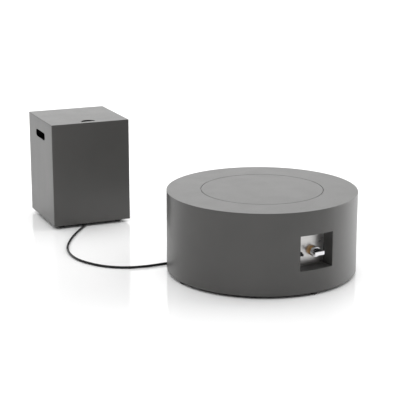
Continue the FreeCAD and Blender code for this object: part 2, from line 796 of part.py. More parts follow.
def control_pocket():
    """Folded box from the window to the panel, its front trimmed to the drum."""
    panel_back = POCKET_DEPTH + PANEL_SHEET
    box = window_block(POCKET_SHEET, 0, panel_back + POCKET_SHEET)
    box = box.cut(window_block(0, 0, panel_back))
    box = box.cut(window_block(-POCKET_FLANGE, 0, panel_back + 2 * POCKET_SHEET))
    low = WINDOW_CENTRE - WINDOW_HEIGHT
    box = box.common(disc(wall_inside - SEAT_GAP, low, low + 2 * WINDOW_HEIGHT))
    return box.cut(panel_stud_bars(PANEL_STUD + HOLE_GAP, PANEL_STUD_LENGTH))


def panel_stud_bars(radius, length):
    """Bars at the four stud places, from the panel's back."""
    across = WINDOW_WIDTH / 2 - PANEL_STUD_INSET
    rise = WINDOW_HEIGHT / 2 - PANEL_STUD_INSET
    bars = []
    for x in (-across, across):
        for z in (-rise, rise):
            bars.append(at_front(disc(radius, -PANEL_SHEET - length, -PANEL_SHEET), x, WINDOW_CENTRE + z))
    return group(bars)


def control_panel():
    """Brushed panel with the valve's and igniter's holes and four studs on its back."""
    sheet = window_block(-PANEL_GAP, POCKET_DEPTH, POCKET_DEPTH + PANEL_SHEET)
    sheet = sheet.cut(at_front(disc(SPIGOT_RADIUS + HOLE_GAP, -PANEL_SHEET, 0), KNOB_RIGHT, knob_z))
    sheet = sheet.cut(at_front(disc(IGNITER_NECK + HOLE_GAP, -PANEL_SHEET, 0), -IGNITER_LEFT, igniter_z))
    return sheet.multiFuse(panel_stud_bars(PANEL_STUD, PANEL_STUD_LENGTH).Solids)


def panel_nuts():
    """Nuts behind the panel."""
    high = -PANEL_SHEET - POCKET_SHEET
    across = WINDOW_WIDTH / 2 - PANEL_STUD_INSET
    rise = WINDOW_HEIGHT / 2 - PANEL_STUD_INSET
    one = nut(PANEL_NUT_FLATS, PANEL_STUD + RUN_GAP, high - PANEL_NUT_HEIGHT, high)
    return group([at_front(one, x, WINDOW_CENTRE + z) for x in (-across, across) for z in (-rise, rise)])


# Gas valve and knob

def valve_body():
    """Brass body with a threaded spigot, a bore for the plug, an inlet below and an outlet behind."""
    body = disc(VALVE_RADIUS, -VALVE_LENGTH, -PANEL_SHEET)
    body = body.fuse(disc(SPIGOT_RADIUS, -PANEL_SHEET, SPIGOT_REACH))
    body = body.fuse(disc(OUTLET_RADIUS, -VALVE_LENGTH - OUTLET_LENGTH, -VALVE_LENGTH))
    plug_end = PLUG_FRONT - PLUG_LENGTH
    body = body.cut(disc(STEM_RADIUS + 2 * RUN_GAP, CHAMBER_FRONT, SPIGOT_REACH))
    body = body.cut(disc(CHAMBER_RADIUS, PLUG_FRONT, CHAMBER_FRONT))
    body = body.cut(disc(PLUG_RADIUS + RUN_GAP, plug_end, PLUG_FRONT))
    body = body.cut(disc(VALVE_PORT, -VALVE_LENGTH - OUTLET_LENGTH, plug_end))
    body = at_front(body, KNOB_RIGHT, knob_z)
    bore = at_front(disc(PLUG_RADIUS + RUN_GAP, plug_end, PLUG_FRONT), KNOB_RIGHT, knob_z)
    at = (KNOB_RIGHT, inlet_y)
    inlet = disc(INLET_RADIUS, inlet_end, knob_z, at).cut(bore)
    return body.fuse(inlet).cut(disc(VALVE_PORT, inlet_end, knob_z, at))


def valve_collar():
    """Brass collar that screws onto the spigot and clamps the valve to the panel."""
    collar = ring(COLLAR_RADIUS, SPIGOT_RADIUS + RUN_GAP, 0, COLLAR_DEPTH)
    return at_front(collar, KNOB_RIGHT, knob_z)


def flat_bar(radius, flat, low, high):
    """Round bar with one flat."""
    return disc(radius, low, high).cut(block(-radius, radius, flat, radius, low, high))


def valve_plug():
    """Plug that opens the gas way as it turns, with a socket for the stem's flat."""
    plug_end = PLUG_FRONT - PLUG_LENGTH + 2 * RUN_GAP
    front = PLUG_FRONT - 2 * RUN_GAP
    plug = disc(PLUG_RADIUS, plug_end, front)
    socket_end = stem_back - KNOB_TRAVEL - SOCKET_SPARE
    plug = plug.cut(flat_bar(STEM_RADIUS + RUN_GAP, STEM_FLAT + RUN_GAP, socket_end, front))
    way = disc(PLUG_PORT, plug_end, -INLET_BACK - PLUG_PORT)
    plug = plug.cut(way)
    return at_front(plug, KNOB_RIGHT, knob_z)


def valve_stem():
    """Stem that carries the knob, with a shoulder that the spring pushes out."""
    stem = flat_bar(STEM_RADIUS, STEM_FLAT, stem_back, stem_front)
    shoulder_top = CHAMBER_FRONT - 2 * RUN_GAP
    shoulder = disc(STEM_SHOULDER, shoulder_top - SHOULDER_SHEET, shoulder_top)
    return at_front(stem.fuse(shoulder), KNOB_RIGHT, knob_z)


def valve_spring():
    """Plain sleeve in the place of the coil spring behind the stem's shoulder."""
    top = CHAMBER_FRONT - SHOULDER_SHEET - 2 * SEAT_GAP
    sleeve = ring(STEM_SHOULDER - SEAT_GAP, STEM_RADIUS + SEAT_GAP, PLUG_FRONT + SEAT_GAP, top)
    return at_front(sleeve, KNOB_RIGHT, knob_z)


def control_knob():
    """Round knob with a bar grip across its face, on the stem's flat."""
    knob = disc(KNOB_RADIUS, knob_back, knob_front)
    bar = block(-BAR_LENGTH / 2, BAR_LENGTH / 2, -BAR_HEIGHT / 2, BAR_HEIGHT / 2,
                knob_front, knob_front + BAR_DEPTH)
    bar = round_edges(bar, BAR_ROUND, (0, 0, 1))
    knob = knob.fuse(bar)
    knob = knob.cut(flat_bar(STEM_RADIUS + RUN_GAP, STEM_FLAT + RUN_GAP, knob_back, stem_front))
    middle = (knob_back + knob_front) / 2
    hole = Part.makeCylinder(SET_SCREW + RUN_GAP, KNOB_RADIUS, Vector(0, 0, middle), Vector(0, -1, 0))
    return at_front(knob.cut(hole), KNOB_RIGHT, knob_z)


def knob_screw():
    """Headless screw that locks the knob on its stem from below."""
    middle = (knob_back + knob_front) / 2
    start = STEM_RADIUS + RUN_GAP
    length = KNOB_RADIUS - SET_SCREW_SUNK - start
    screw = Part.makeCylinder(SET_SCREW, length, Vector(0, -start, middle), Vector(0, -1, 0))
    return at_front(screw, KNOB_RIGHT, knob_z)


# Igniter

def igniter_body():
    """Barrel behind the panel with a threaded neck through it and a bore for the button."""
    body = disc(IGNITER_BARREL, -IGNITER_LENGTH, -PANEL_SHEET)
    body = body.fuse(disc(IGNITER_NECK, -PANEL_SHEET, IGNITER_NECK_REACH))
    bore_end = IGNITER_NECK_REACH - BUTTON_SOCKET - BUTTON_TRAVEL - SOCKET_SPARE
    body = body.cut(disc(BUTTON_STEM + RUN_GAP, bore_end, IGNITER_NECK_REACH))
    return at_front(body, -IGNITER_LEFT, igniter_z)


def igniter_nut():
    """Nut that holds the igniter from the front."""
    one = nut(IGNITER_NUT_FLATS, IGNITER_NECK + RUN_GAP, 0, IGNITER_NUT_HEIGHT)
    return at_front(one, -IGNITER_LEFT, igniter_z)


def igniter_button():
    """Push button with a round head on a plunger."""
    seat = IGNITER_NECK_REACH + BUTTON_TRAVEL + SEAT_GAP
    head = disc(BUTTON_HEAD, seat, seat + BUTTON_HEAD_DEPTH)
    head = round_circles(head, BUTTON_ROUND, BUTTON_HEAD, seat + BUTTON_HEAD_DEPTH)
    plunger = disc(BUTTON_STEM, IGNITER_NECK_REACH - BUTTON_SOCKET, seat)
    return at_front(head.fuse(plunger), -IGNITER_LEFT, igniter_z)


# Gas pipe inside the drum

def supply_pipe():
    """Bent pipe from the valve's outlet, under the mixer and up into the jet."""
    start_y = panel_face + VALVE_LENGTH + OUTLET_LENGTH + SEAT_GAP
    low = knob_z - PIPE_DIP
    route = [(KNOB_RIGHT, start_y, knob_z), (KNOB_RIGHT, start_y + PIPE_STRAIGHT, knob_z),
             (0, -PIPE_RISE_RUN, low), (0, 0, low), (0, 0, jet_end - SEAT_GAP)]
    return rod(route, PIPE_RADIUS, PIPE_BEND).cut(rod(route, PIPE_BORE, PIPE_BEND))


def pipe_nuts():
    """Union nuts at the valve and at the jet."""
    back = -VALVE_LENGTH - OUTLET_LENGTH
    over = PIPE_NUT_LENGTH / 2
    at_valve = hexagon(PIPE_NUT_FLATS, back - over, back + over)
    at_valve = at_valve.cut(disc(OUTLET_RADIUS + RUN_GAP, back, back + over))
    at_valve = at_valve.cut(disc(PIPE_RADIUS + RUN_GAP, back - over, back))
    at_valve = at_front(at_valve, KNOB_RIGHT, knob_z)
    at_jet = nut(JET_NUT_FLATS, PIPE_RADIUS + RUN_GAP, jet_end - JET_NUT_LENGTH, jet_end)
    return group([at_valve, at_jet])


# Hose and its fittings

def swivel_nut():
    """Nut that joins the hose's tail to the valve's inlet."""
    at = (KNOB_RIGHT, inlet_y)
    return nut(SWIVEL_FLATS, TAIL_RADIUS + RUN_GAP, inlet_end - SWIVEL_LENGTH, inlet_end, at)


def hose_tail():
    """Brass tail under the valve, inside the nut and the ferrule."""
    low = inlet_end - SWIVEL_LENGTH - FERRULE_LENGTH
    return ring(TAIL_RADIUS, TAIL_BORE, low, inlet_end, (KNOB_RIGHT, inlet_y))


def ferrule():
    """Crimped sleeve, upright from its own foot."""
    return ring(FERRULE_RADIUS, TAIL_RADIUS + RUN_GAP, 0, FERRULE_LENGTH)


def hose_ferrules():
    """Ferrules at the table's and at the regulator's end of the hose."""
    table_end = ferrule()
    table_end.translate(Vector(KNOB_RIGHT, inlet_y, inlet_end - SWIVEL_LENGTH - FERRULE_LENGTH - SEAT_GAP))
    tank_end = ferrule()
    tank_end.translate(Vector(0, 0, REGULATOR_OUTLET_REACH))
    return group([table_end, at_port(along_minus_y(tank_end, REGULATOR_REACH, port_z))])


def gas_hose():
    """Rubber hose as straight runs joined by tangent arcs."""
    wire, radii = bent_wire(HOSE_ROUTE)
    hose = rod(HOSE_ROUTE, HOSE_RADIUS)
    section = math.pi * HOSE_RADIUS ** 2
    print("hose radii", [round(r) for r in radii])
    print("hose length", round(wire.Length), "volume over section times length",
          round(hose.Volume / (section * wire.Length), 5))
    return hose


# Cover of the gas cylinder

def cover_shell():
    """Folded shell with a flange at the top and the foot, corner gussets and a hand slot in each side."""
    shell = round_edges(plate(cover_half, cover_low, cover_lid_under), COVER_CORNER, (0, 0, 1))
    shell = shell.cut(plate(cover_inside, cover_low + COVER_SHEET, cover_lid_under - COVER_SHEET))
    shell = shell.cut(plate(cover_inside - COVER_TOP_FLANGE, cover_lid_under - COVER_SHEET, cover_lid_under))
    floor_hole = plate(cover_inside - COVER_BASE_FLANGE, cover_low, cover_low + COVER_SHEET)
    corner = Vector(cover_inside, cover_inside, cover_low)
    leg_x = Vector(cover_inside - GUSSET_LEG, cover_inside, cover_low)
    leg_y = Vector(cover_inside, cover_inside - GUSSET_LEG, cover_low)
    gusset = Part.Face(Part.makePolygon([corner, leg_x, leg_y, corner])).extrude(Vector(0, 0, COVER_SHEET))
    floor_hole = floor_hole.cut(group(around(gusset, 4)))
    shell = shell.cut(floor_hole)
    slot_z = COVER_TOP - SLOT_DROP
    slot = block(-COVER_SIDE, COVER_SIDE, -SLOT_LENGTH / 2, SLOT_LENGTH / 2,
                 slot_z - SLOT_HEIGHT / 2, slot_z + SLOT_HEIGHT / 2)
    shell = shell.cut(round_edges(slot, SLOT_ROUND, (1, 0, 0)))
    studs = [disc(STUD_RADIUS + HOLE_GAP, cover_low, cover_low + COVER_SHEET, at)
             for at in cover_foot_places()]
    return at_tank(shell.cut(group(studs)))


def cover_foot_places():
    """Centres of the cover's four feet in its own axes."""
    return [(x, y) for x in (-COVER_FOOT_AT, COVER_FOOT_AT) for y in (-COVER_FOOT_AT, COVER_FOOT_AT)]


def cover_feet():
    """Feet under the cover's gussets."""
    return at_tank(group([stud_foot(COVER_FOOT_HEIGHT, COVER_SHEET, at) for at in cover_foot_places()]))


def cover_foot_nuts():
    """Nuts of the cover's feet."""
    return at_tank(group([foot_nut(COVER_FOOT_HEIGHT, COVER_SHEET, at) for at in cover_foot_places()]))


def cover_lid():
    """Flat lid with a half-round finger hole near its front edge."""
    sheet = plate(cover_half, cover_lid_under, COVER_TOP)
    sheet = round_edges(sheet, COVER_CORNER, (0, 0, 1))
    flat_side = -(cover_half - FINGER_HOLE_INSET)
    hole = disc(FINGER_HOLE_RADIUS, cover_lid_under, COVER_TOP, (0, flat_side))
    hole = hole.cut(block(-cover_half, cover_half, -cover_half, flat_side, cover_lid_under, COVER_TOP))
    return at_tank(sheet.cut(hole))


def cover_lid_frame():
    """Welded frame of flat bar that centres the lid in the shell's top flange."""
    outer = cover_inside - COVER_TOP_FLANGE - LOCATOR_GAP
    low = cover_lid_under - LOCATOR_HEIGHT
    return at_tank(plate(outer, low, cover_lid_under).cut(plate(outer - LOCATOR_BAR, low, cover_lid_under)))


# Gas cylinder

def head_rise(crown, radius):
    """How far a crown of one radius falls at a distance from its apex."""
    return crown - math.sqrt(crown ** 2 - radius ** 2)


def vessel(radius, crown, knuckle, low, high):
    """Closed vessel: a straight wall between two heads, each a crown and a knuckle."""
    reach = crown - knuckle
    lean = math.asin((radius - knuckle) / reach)
    head = crown - reach * math.cos(lean)

    def on(centre_r, centre_z, size, angle, way):
        return Vector(centre_r + size * math.sin(angle), 0, centre_z + way * size * math.cos(angle))

    edges, ends = [], []
    for way, apex in ((-1, low), (1, high)):
        crown_z = apex - way * crown
        knuckle_z = apex - way * head
        top = on(0, crown_z, crown, 0, way)
        mid_crown = on(0, crown_z, crown, lean / 2, way)
        join = on(0, crown_z, crown, lean, way)
        mid_knuckle = on(radius - knuckle, knuckle_z, knuckle, (lean + math.pi / 2) / 2, way)
        side = Vector(radius, 0, knuckle_z)
        edges.append(Part.Arc(top, mid_crown, join).toShape())
        edges.append(Part.Arc(join, mid_knuckle, side).toShape())
        ends.append((top, side))
    edges.append(Part.LineSegment(ends[0][1], ends[1][1]).toShape())
    edges.append(Part.LineSegment(ends[0][0], ends[1][0]).toShape())
    face = Part.Face(Part.Wire(Part.__sortEdges__(edges)))
    return face.revolve(Vector(0, 0, 0), Vector(0, 0, 1), 360)


def cylinder_body():
    """Welded steel vessel with a threaded bung for its valve."""
    outer = vessel(CYLINDER_RADIUS, CROWN_RADIUS, KNUCKLE_RADIUS, CYLINDER_CLEAR, cylinder_top)
    inner = vessel(CYLINDER_RADIUS - CYLINDER_SHEET, CROWN_RADIUS - CYLINDER_SHEET,
                   KNUCKLE_RADIUS - CYLINDER_SHEET, CYLINDER_CLEAR + CYLINDER_SHEET,
                   cylinder_top - CYLINDER_SHEET)
    bung = disc(BUNG_RADIUS, bung_top - BUNG_DEPTH, bung_top)
    body = outer.cut(inner).fuse(bung)
    return at_tank(body.cut(disc(NECK_RADIUS + RUN_GAP, bung_top - 2 * BUNG_DEPTH, bung_top)))


def cylinder_foot_ring():
    """Rolled ring that the cylinder stands on, with vents."""
    inner = FOOT_RING_RADIUS - FOOT_RING_SHEET
    top = CYLINDER_CLEAR + head_rise(CROWN_RADIUS, inner) - SEAT_GAP
    body = ring(FOOT_RING_RADIUS, inner, 0, top)
    past = FOOT_RING_RADIUS + FOOT_RING_SHEET
    vent = Part.makeCylinder(FOOT_VENT, past, Vector(0, 0, top / 2), Vector(1, 0, 0))
    return at_tank(body.cut(group(around(vent, FOOT_VENT_COUNT, 30.0))))


def valve_guard():
    """Rolled collar round the cylinder's valve, open at the outlet, with two hand holes."""
    inner = GUARD_RADIUS - GUARD_SHEET
    low = cylinder_top - head_rise(CROWN_RADIUS, inner) + SEAT_GAP
    body = ring(GUARD_RADIUS, inner, low, GUARD_TOP)
    angle = math.radians(GUARD_GATE)
    far = 2 * GUARD_RADIUS
    gate = [Vector(0, 0, low), Vector(far * math.cos(angle), -far * math.sin(angle), low),
            Vector(far * math.cos(angle), far * math.sin(angle), low), Vector(0, 0, low)]
    body = body.cut(Part.Face(Part.makePolygon(gate)).extrude(Vector(0, 0, GUARD_TOP - low)))
    hole_z = GUARD_TOP - GUARD_HOLE_DROP
    hole = block(GUARD_RADIUS / 2, 2 * GUARD_RADIUS, -GUARD_HOLE_LENGTH / 2, GUARD_HOLE_LENGTH / 2,
                 hole_z - GUARD_HOLE_HEIGHT / 2, hole_z + GUARD_HOLE_HEIGHT / 2)
    hole = round_edges(hole, GUARD_HOLE_ROUND, (1, 0, 0))
    for turn in (GUARD_HOLE_TURN, -GUARD_HOLE_TURN):
        cutter = hole.copy()
        cutter.rotate(Vector(0, 0, 0), Vector(0, 0, 1), turn)
        body = body.cut(cutter)
    return at_port(body)


def cylinder_valve():
    """Brass valve with a threaded neck, a side outlet, a relief valve and a gland."""
    body = disc(NECK_RADIUS, bung_top - NECK_DEPTH, bung_top)
    body = body.fuse(disc(BONNET_RADIUS, bung_top, bonnet_top))
    body = body.fuse(disc(GLAND_RADIUS, bonnet_top, gland_top))
    body = body.fuse(along_x(disc(PORT_RADIUS, 0, PORT_REACH), 0, port_z))
    body = body.fuse(along_x(disc(RELIEF_RADIUS, -RELIEF_REACH, 0), 0, port_z))
    body = body.cut(disc(SPINDLE_RADIUS + RUN_GAP, gland_top - SPINDLE_DEPTH, gland_top))
    return at_port(body.cut(along_x(disc(VALVE_PORT, BONNET_RADIUS, PORT_REACH), 0, port_z)))


def valve_spindle():
    """Steel spindle under the handwheel."""
    return at_port(disc(SPINDLE_RADIUS, gland_top - SPINDLE_DEPTH + SEAT_GAP, wheel_top))


def handwheel():
    """Lobed plastic handwheel."""
    wheel = disc(WHEEL_RADIUS, wheel_low, wheel_top)
    scallop = disc(SCALLOP_RADIUS, wheel_low, wheel_top, (WHEEL_RADIUS + SCALLOP_OUTSET, 0))
    wheel = wheel.cut(group(around(scallop, WHEEL_SCALLOPS)))
    return at_port(wheel.cut(disc(SPINDLE_RADIUS + RUN_GAP, wheel_low, wheel_top)))


def handwheel_screw():
    """Screw that holds the handwheel on its spindle."""
    return at_port(disc(WHEEL_SCREW, wheel_top, wheel_top + WHEEL_SCREW_HEIGHT))


# Regulator

def regulator_body():
    """Die-cast drum with an inlet pipe, and an outlet that ends in the hose's tail."""
    low = port_z - REGULATOR_HEIGHT / 2
    high = port_z + REGULATOR_HEIGHT / 2
    at = (REGULATOR_REACH, 0)
    body = disc(REGULATOR_RADIUS, low, high, at)
    body = round_circles(body, REGULATOR_ROUND, REGULATOR_RADIUS, high)
    body = round_circles(body, REGULATOR_ROUND, REGULATOR_RADIUS, low)
    body = body.fuse(along_x(disc(REGULATOR_INLET, PORT_REACH + SEAT_GAP, REGULATOR_REACH), 0, port_z))
    outlet = disc(REGULATOR_OUTLET, 0, REGULATOR_OUTLET_REACH - SEAT_GAP)
    outlet = outlet.fuse(disc(TAIL_RADIUS, 0, REGULATOR_OUTLET_REACH + FERRULE_LENGTH))
    return at_port(body.fuse(along_minus_y(outlet, REGULATOR_REACH, port_z)))


def regulator_cap():
    """Screw cap over the regulator's spring."""
    low = port_z + REGULATOR_HEIGHT / 2
    cap = disc(REGULATOR_CAP_RADIUS, low, low + REGULATOR_CAP_HEIGHT, (REGULATOR_REACH, 0))
    return at_port(round_circles(cap, REGULATOR_ROUND / 2, REGULATOR_CAP_RADIUS, low + REGULATOR_CAP_HEIGHT))


def coupling_nut():
    """Nut that joins the regulator to the cylinder valve's outlet."""
    start = PORT_REACH - COUPLING_BACK
    body = hexagon(COUPLING_FLATS, start, start + COUPLING_LENGTH)
    body = body.cut(disc(PORT_RADIUS + RUN_GAP, start, PORT_REACH))
    body = body.cut(disc(REGULATOR_INLET + RUN_GAP, PORT_REACH, start + COUPLING_LENGTH))
    return at_port(along_x(body, 0, port_z))


def save(name, shape):
    """Writes one node and says when it isn't a valid solid."""
    if not shape.isValid() or not shape.Solids or min(s.Volume for s in shape.Solids) <= 0:
        print("not a valid solid:", name)
    shape.exportStep("parts/" + name + ".step")


NODES = [
    drum_wall, base_ring, table_feet, table_foot_nuts, table_top, lid_shelf, lid, lid_hoop, lid_pads,
    burner_pan, burner, burner_nipple, burner_locknut, air_mixer, gas_jet, lava_stones, heat_shield,
    shield_studs, shield_nuts, ignition_bracket, electrode_ceramic, electrode_rod, flame_probe,
    ignition_wire, probe_lead, control_pocket, control_panel, panel_nuts, valve_body, valve_collar,
    valve_plug, valve_stem, valve_spring, control_knob, knob_screw, igniter_body, igniter_nut,
    igniter_button, supply_pipe, pipe_nuts, swivel_nut, hose_tail, hose_ferrules, gas_hose, cover_shell,
    cover_lid, cover_lid_frame, cover_feet, cover_foot_nuts, cylinder_body, cylinder_foot_ring,
    valve_guard, cylinder_valve, valve_spindle, handwheel, handwheel_screw, regulator_body,
    regulator_cap, coupling_nut,
]

for make in NODES:
    save(make.__name__, make())
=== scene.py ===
"""Looks of a gas fire pit table: a powder-coated steel drum with a burner under its lift-off lid, and a
gas cylinder in a lift-off steel cover beside it. Metres, +Z up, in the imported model's own frame."""
import math

import bmesh
import bpy
import numpy as np
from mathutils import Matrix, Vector
from mathutils.geometry import tessellate_polygon


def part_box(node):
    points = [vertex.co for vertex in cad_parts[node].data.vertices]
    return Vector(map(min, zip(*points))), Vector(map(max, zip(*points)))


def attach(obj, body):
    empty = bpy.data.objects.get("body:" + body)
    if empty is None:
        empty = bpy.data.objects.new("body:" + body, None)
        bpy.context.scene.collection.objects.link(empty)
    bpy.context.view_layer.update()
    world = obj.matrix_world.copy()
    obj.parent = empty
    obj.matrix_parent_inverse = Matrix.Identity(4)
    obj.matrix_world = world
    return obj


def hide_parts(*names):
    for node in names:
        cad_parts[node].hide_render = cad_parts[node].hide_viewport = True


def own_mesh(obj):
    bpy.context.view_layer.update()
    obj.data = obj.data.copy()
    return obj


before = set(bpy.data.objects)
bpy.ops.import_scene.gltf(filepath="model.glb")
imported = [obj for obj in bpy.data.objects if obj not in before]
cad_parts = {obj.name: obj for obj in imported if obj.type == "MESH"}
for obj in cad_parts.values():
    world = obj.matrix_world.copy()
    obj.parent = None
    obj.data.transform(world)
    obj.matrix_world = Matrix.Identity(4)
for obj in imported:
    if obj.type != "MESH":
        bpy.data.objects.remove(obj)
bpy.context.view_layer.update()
scene = bpy.context.scene
scene.view_settings.view_transform = "Standard"


# Camera: a long lens 2.1 m above the floor, aimed down at the table's window side and the cover's front.
lens = bpy.data.cameras.new("camera")
lens.lens = 115.49
lens.sensor_width = 36.0
lens.clip_end = 300.0
camera = bpy.data.objects.new("camera", lens)
camera.location = (-3.65106, -5.39595, 2.08490)
camera.rotation_euler = (math.radians(75.30), 0, math.radians(-31.232))
scene.collection.objects.link(camera)
scene.camera = camera


# Gas hose: black nitrile rubber over a braid, 13 mm outside, with a smooth extruded jacket. It leaves the
# valve's inlet under the drum, lies on the floor in slack curves and goes up to the regulator.
HOSE_THICK = 0.013
hose_route = np.array([
    (27, -388, 135.6), (27, -388, 89), (22, -358.4, 37), (13.5, -307.2, 7), (-2, -215, 7),
    (-26, -125, 7), (-52, -40, 7), (-75, 45, 7), (-105, 125, 7), (-142, 196, 7), (-190, 255, 7),
    (-250, 296, 7), (-320, 318, 7), (-395, 326, 7), (-460, 330, 7), (-517, 338, 7), (-570, 353, 7),
    (-618, 374, 7), (-661, 407, 7), (-700, 448, 7), (-732, 503, 7), (-758, 571, 7), (-770, 631, 7),
    (-770, 701, 7), (-754, 785, 7), (-722, 866, 7), (-677, 942, 7), (-606, 1040, 7), (-526, 1132, 7),
    (-449, 1208, 7), (-409, 1249, 7), (-376, 1276, 7), (-334.5, 1283, 7), (-295, 1280.5, 20),
    (-260, 1279, 58), (-240, 1280, 115), (-232, 1283, 190), (-230.5, 1288, 272), (-230, 1295.5, 337.4),
    (-232.4, 1315.4, 372), (-236.6, 1349.8, 392), (-241.5, 1389.5, 392)]) / 1000


class Nodes:
    """The nodes of one material or world."""

    def __init__(self, tree):
        self.tree = tree

    def put(self, socket, value):
        """Links a node's output to a socket, and sets any other value on the socket itself."""
        if isinstance(value, bpy.types.NodeSocket):
            self.tree.links.new(value, socket)
        else:
            socket.default_value = value

    def step(self, kind, inputs=None, out=0, **settings):
        """One output of a new node with the given inputs."""
        made = self.tree.nodes.new("ShaderNode" + kind)
        for key, value in settings.items():
            setattr(made, key, value)
        for key, value in (inputs or {}).items():
            self.put(made.inputs[key], value)
        return made.outputs[out]

    def sum(self, how, first, second):
        """Two levels joined by one sum."""
        return self.step("Math", {0: first, 1: second}, operation=how)

    def between(self, factor, low, high, start=0.3, end=0.7):
        """Runs a value from one colour or number to another as the factor goes from start to end."""
        if isinstance(low, tuple):
            result = self.step("ValToRGB", {"Fac": factor}, "Color")
            for element, place, colour in zip(result.node.color_ramp.elements, (start, end), (low, high)):
                element.position = place
                element.color = (*colour, 1)
            return result
        return self.step("MapRange", {"Value": factor, "From Min": start, "From Max": end,
                                      "To Min": low, "To Max": high}, "Result")


class Finish(Nodes):
    """A material on Object coordinates; its slot is not used. Uniform values go on its shader."""

    def __init__(self, name, slot="", **sockets):
        self.made = bpy.data.materials.new(name)
        self.made.use_nodes = True
        super().__init__(self.made.node_tree)
        self.slot = slot
        self.sockets = self.tree.nodes["Principled BSDF"].inputs
        for key, value in sockets.items():
            self.put(self.sockets[key.replace("_", " ")], value)
        self.place = self.step("TexCoord", out="Object")

    def speckle(self, scale, detail=3.0, stretch=(1, 1, 1), rough=0.5):
        """Noise of about 1/scale metres, drawn out along an axis where its stretch is below 1. It is set off
        by a third of a cell, because its octaves' cells all meet at the origin and would show there."""
        third = (1 / (3 * scale),) * 3
        place = self.step("Mapping", {"Vector": self.place, "Scale": stretch, "Location": third})
        return self.step("TexNoise", {"Vector": place, "Scale": scale, "Detail": detail, "Roughness": rough},
                         "Fac")

    def paint(self, colour, rough, relief, depth):
        """Links the colour, the roughness and a relief, as deep as `depth` where its height runs 0 to 1."""
        self.put(self.sockets["Base Color"], colour)
        self.put(self.sockets["Roughness"], rough)
        self.put(self.sockets["Normal"], self.step("Bump", {"Height": relief, "Distance": depth}))
        return self


def rubber(name, slot, colour, rough, shine=0.5):
    """Rubber or plastic with a faint bloom and a fine moulded grain."""
    made = Finish(name, slot, Specular_IOR_Level=shine)
    dull, light = (tuple(share * c for c in colour) for share in (0.75, 1.3))
    return made.paint(made.between(made.speckle(18.0), dull, light),
                      made.between(made.speckle(60.0), rough - 0.08, rough + 0.08),
                      made.speckle(1500.0, 2.0), 0.00004)


hose_rubber = rubber("hose_rubber", "black_rubber", (0.008, 0.008, 0.009), 0.30, 0.25)
hose_line = bpy.data.curves.new("hose", "CURVE")
hose_line.dimensions = "3D"
hose_line.resolution_u = 10
hose_line.bevel_depth = HOSE_THICK / 2
hose_line.bevel_resolution = 5
hose_line.use_fill_caps = True
strand = hose_line.splines.new("NURBS")
strand.points.add(len(hose_route) - 1)
strand.points.foreach_set("co", np.hstack([hose_route, np.ones((len(hose_route), 1))]).ravel())
strand.order_u = 3
strand.use_endpoint_u = True
hose = bpy.data.objects.new("hose", hose_line)
scene.collection.objects.link(hose)
hose_line.materials.append(hose_rubber.made)
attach(hose, "root")
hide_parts("gas_hose")


# Drum wall: one sheet of 2.5 mm steel rolled to a metre across and butt-welded at the back, with the control
# window cut through it, its edges dressed and the whole in a dark matt powder coat.
def span(node, axis=2):
    """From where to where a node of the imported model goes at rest, upright or along another axis. Only flat
    ends are read so, because a curved side's corners lie where its triangles happen to."""
    return tuple(round(corner[axis], 6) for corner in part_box(node))


DRUM = 0.500
DRUM_SHEET = 0.0025
DRUM_FOOT, DRUM_TOP = span("drum_wall")
HALF_ROUND = math.pi * DRUM
FLAT_PART = 0.15
WINDOW_HALF = 0.098
WINDOW_LOW, WINDOW_HIGH = 0.1338, 0.3150
WINDOW_TALL = WINDOW_HIGH - WINDOW_LOW
WINDOW_CORNER = 0.0015


def powder_coat(name, shade=1.0, rough=0.33):
    """Matt powder coat: slow mottling, a fine orange-peel skin and faint wiped patches."""
    coat = Finish(name, "charcoal_coat")
    # shade scales both tones; below 1 it is painted shade, the coat drawn darker than its paint is.
    dark, light = (tuple(shade * c for c in tone) for tone in ((0.084, 0.083, 0.080), (0.094, 0.092, 0.089)))
    wiped = coat.speckle(9.0, 4.0, (1, 1, 0.35))
    return coat.paint(coat.between(coat.speckle(5.0, 5.0), dark, light),
                      coat.between(wiped, rough - 0.015, rough + 0.015, 0.35, 0.65),
                      coat.sum("ADD", coat.speckle(420.0, 2.0), coat.speckle(1400.0, 1.0)), 0.00009)


def piece(name, part, finish, node=None, body="root", sharp=32.0, bevel=0.0):
    """A mesh from a part's points and faces, closed at its seams and smooth except where faces meet sharply,
    which rides on a body and stands for a node."""
    points, faces = part
    mesh = bpy.data.meshes.new(name)
    mesh.from_pydata(points.tolist(), [], [face for block in faces for face in block.tolist()])
    work = bmesh.new()
    work.from_mesh(mesh)
    bmesh.ops.remove_doubles(work, verts=work.verts, dist=2e-6)
    bmesh.ops.dissolve_degenerate(work, dist=1e-7, edges=work.edges)
    bmesh.ops.recalc_face_normals(work, faces=work.faces)
    work.to_mesh(mesh)
    work.free()
    mesh.shade_smooth()
    mesh.set_sharp_from_angle(angle=math.radians(sharp))
    mesh.materials.append(finish.made)
    made = bpy.data.objects.new(name, mesh)
    scene.collection.objects.link(made)
    if bevel:
        edge = made.modifiers.new("dressed_edges", "BEVEL")
        edge.width = bevel
        edge.segments = 2
        edge.angle_limit = math.radians(50)
        edge.harden_normals = True
    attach(made, body)
    if node:
        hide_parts(node)
    return made


def bands(rows):
    """Faces between neighbouring rows of point numbers, where each row closes."""
    after = np.roll(rows, -1, 1)
    return np.stack([rows[:-1], after[:-1], after[1:], rows[1:]], -1).reshape(-1, 4)


def runs(*spans):
    """Evenly spaced values over several spans, each given by its first, its last and their number."""
    return np.concatenate([np.linspace(*span) for span in spans])


def unit(vectors):
    """Vectors scaled to a length of 1."""
    return vectors / np.maximum(np.linalg.norm(vectors, axis=-1, keepdims=True), 1e-12)


def rings_to(rim, edge):
    """Points of three rings, evenly spaced from a block's edge to a hole's rim."""
    return (edge + (rim - edge) * np.array([1, 2, 3])[:, None, None] / 3).reshape(-1, 2)


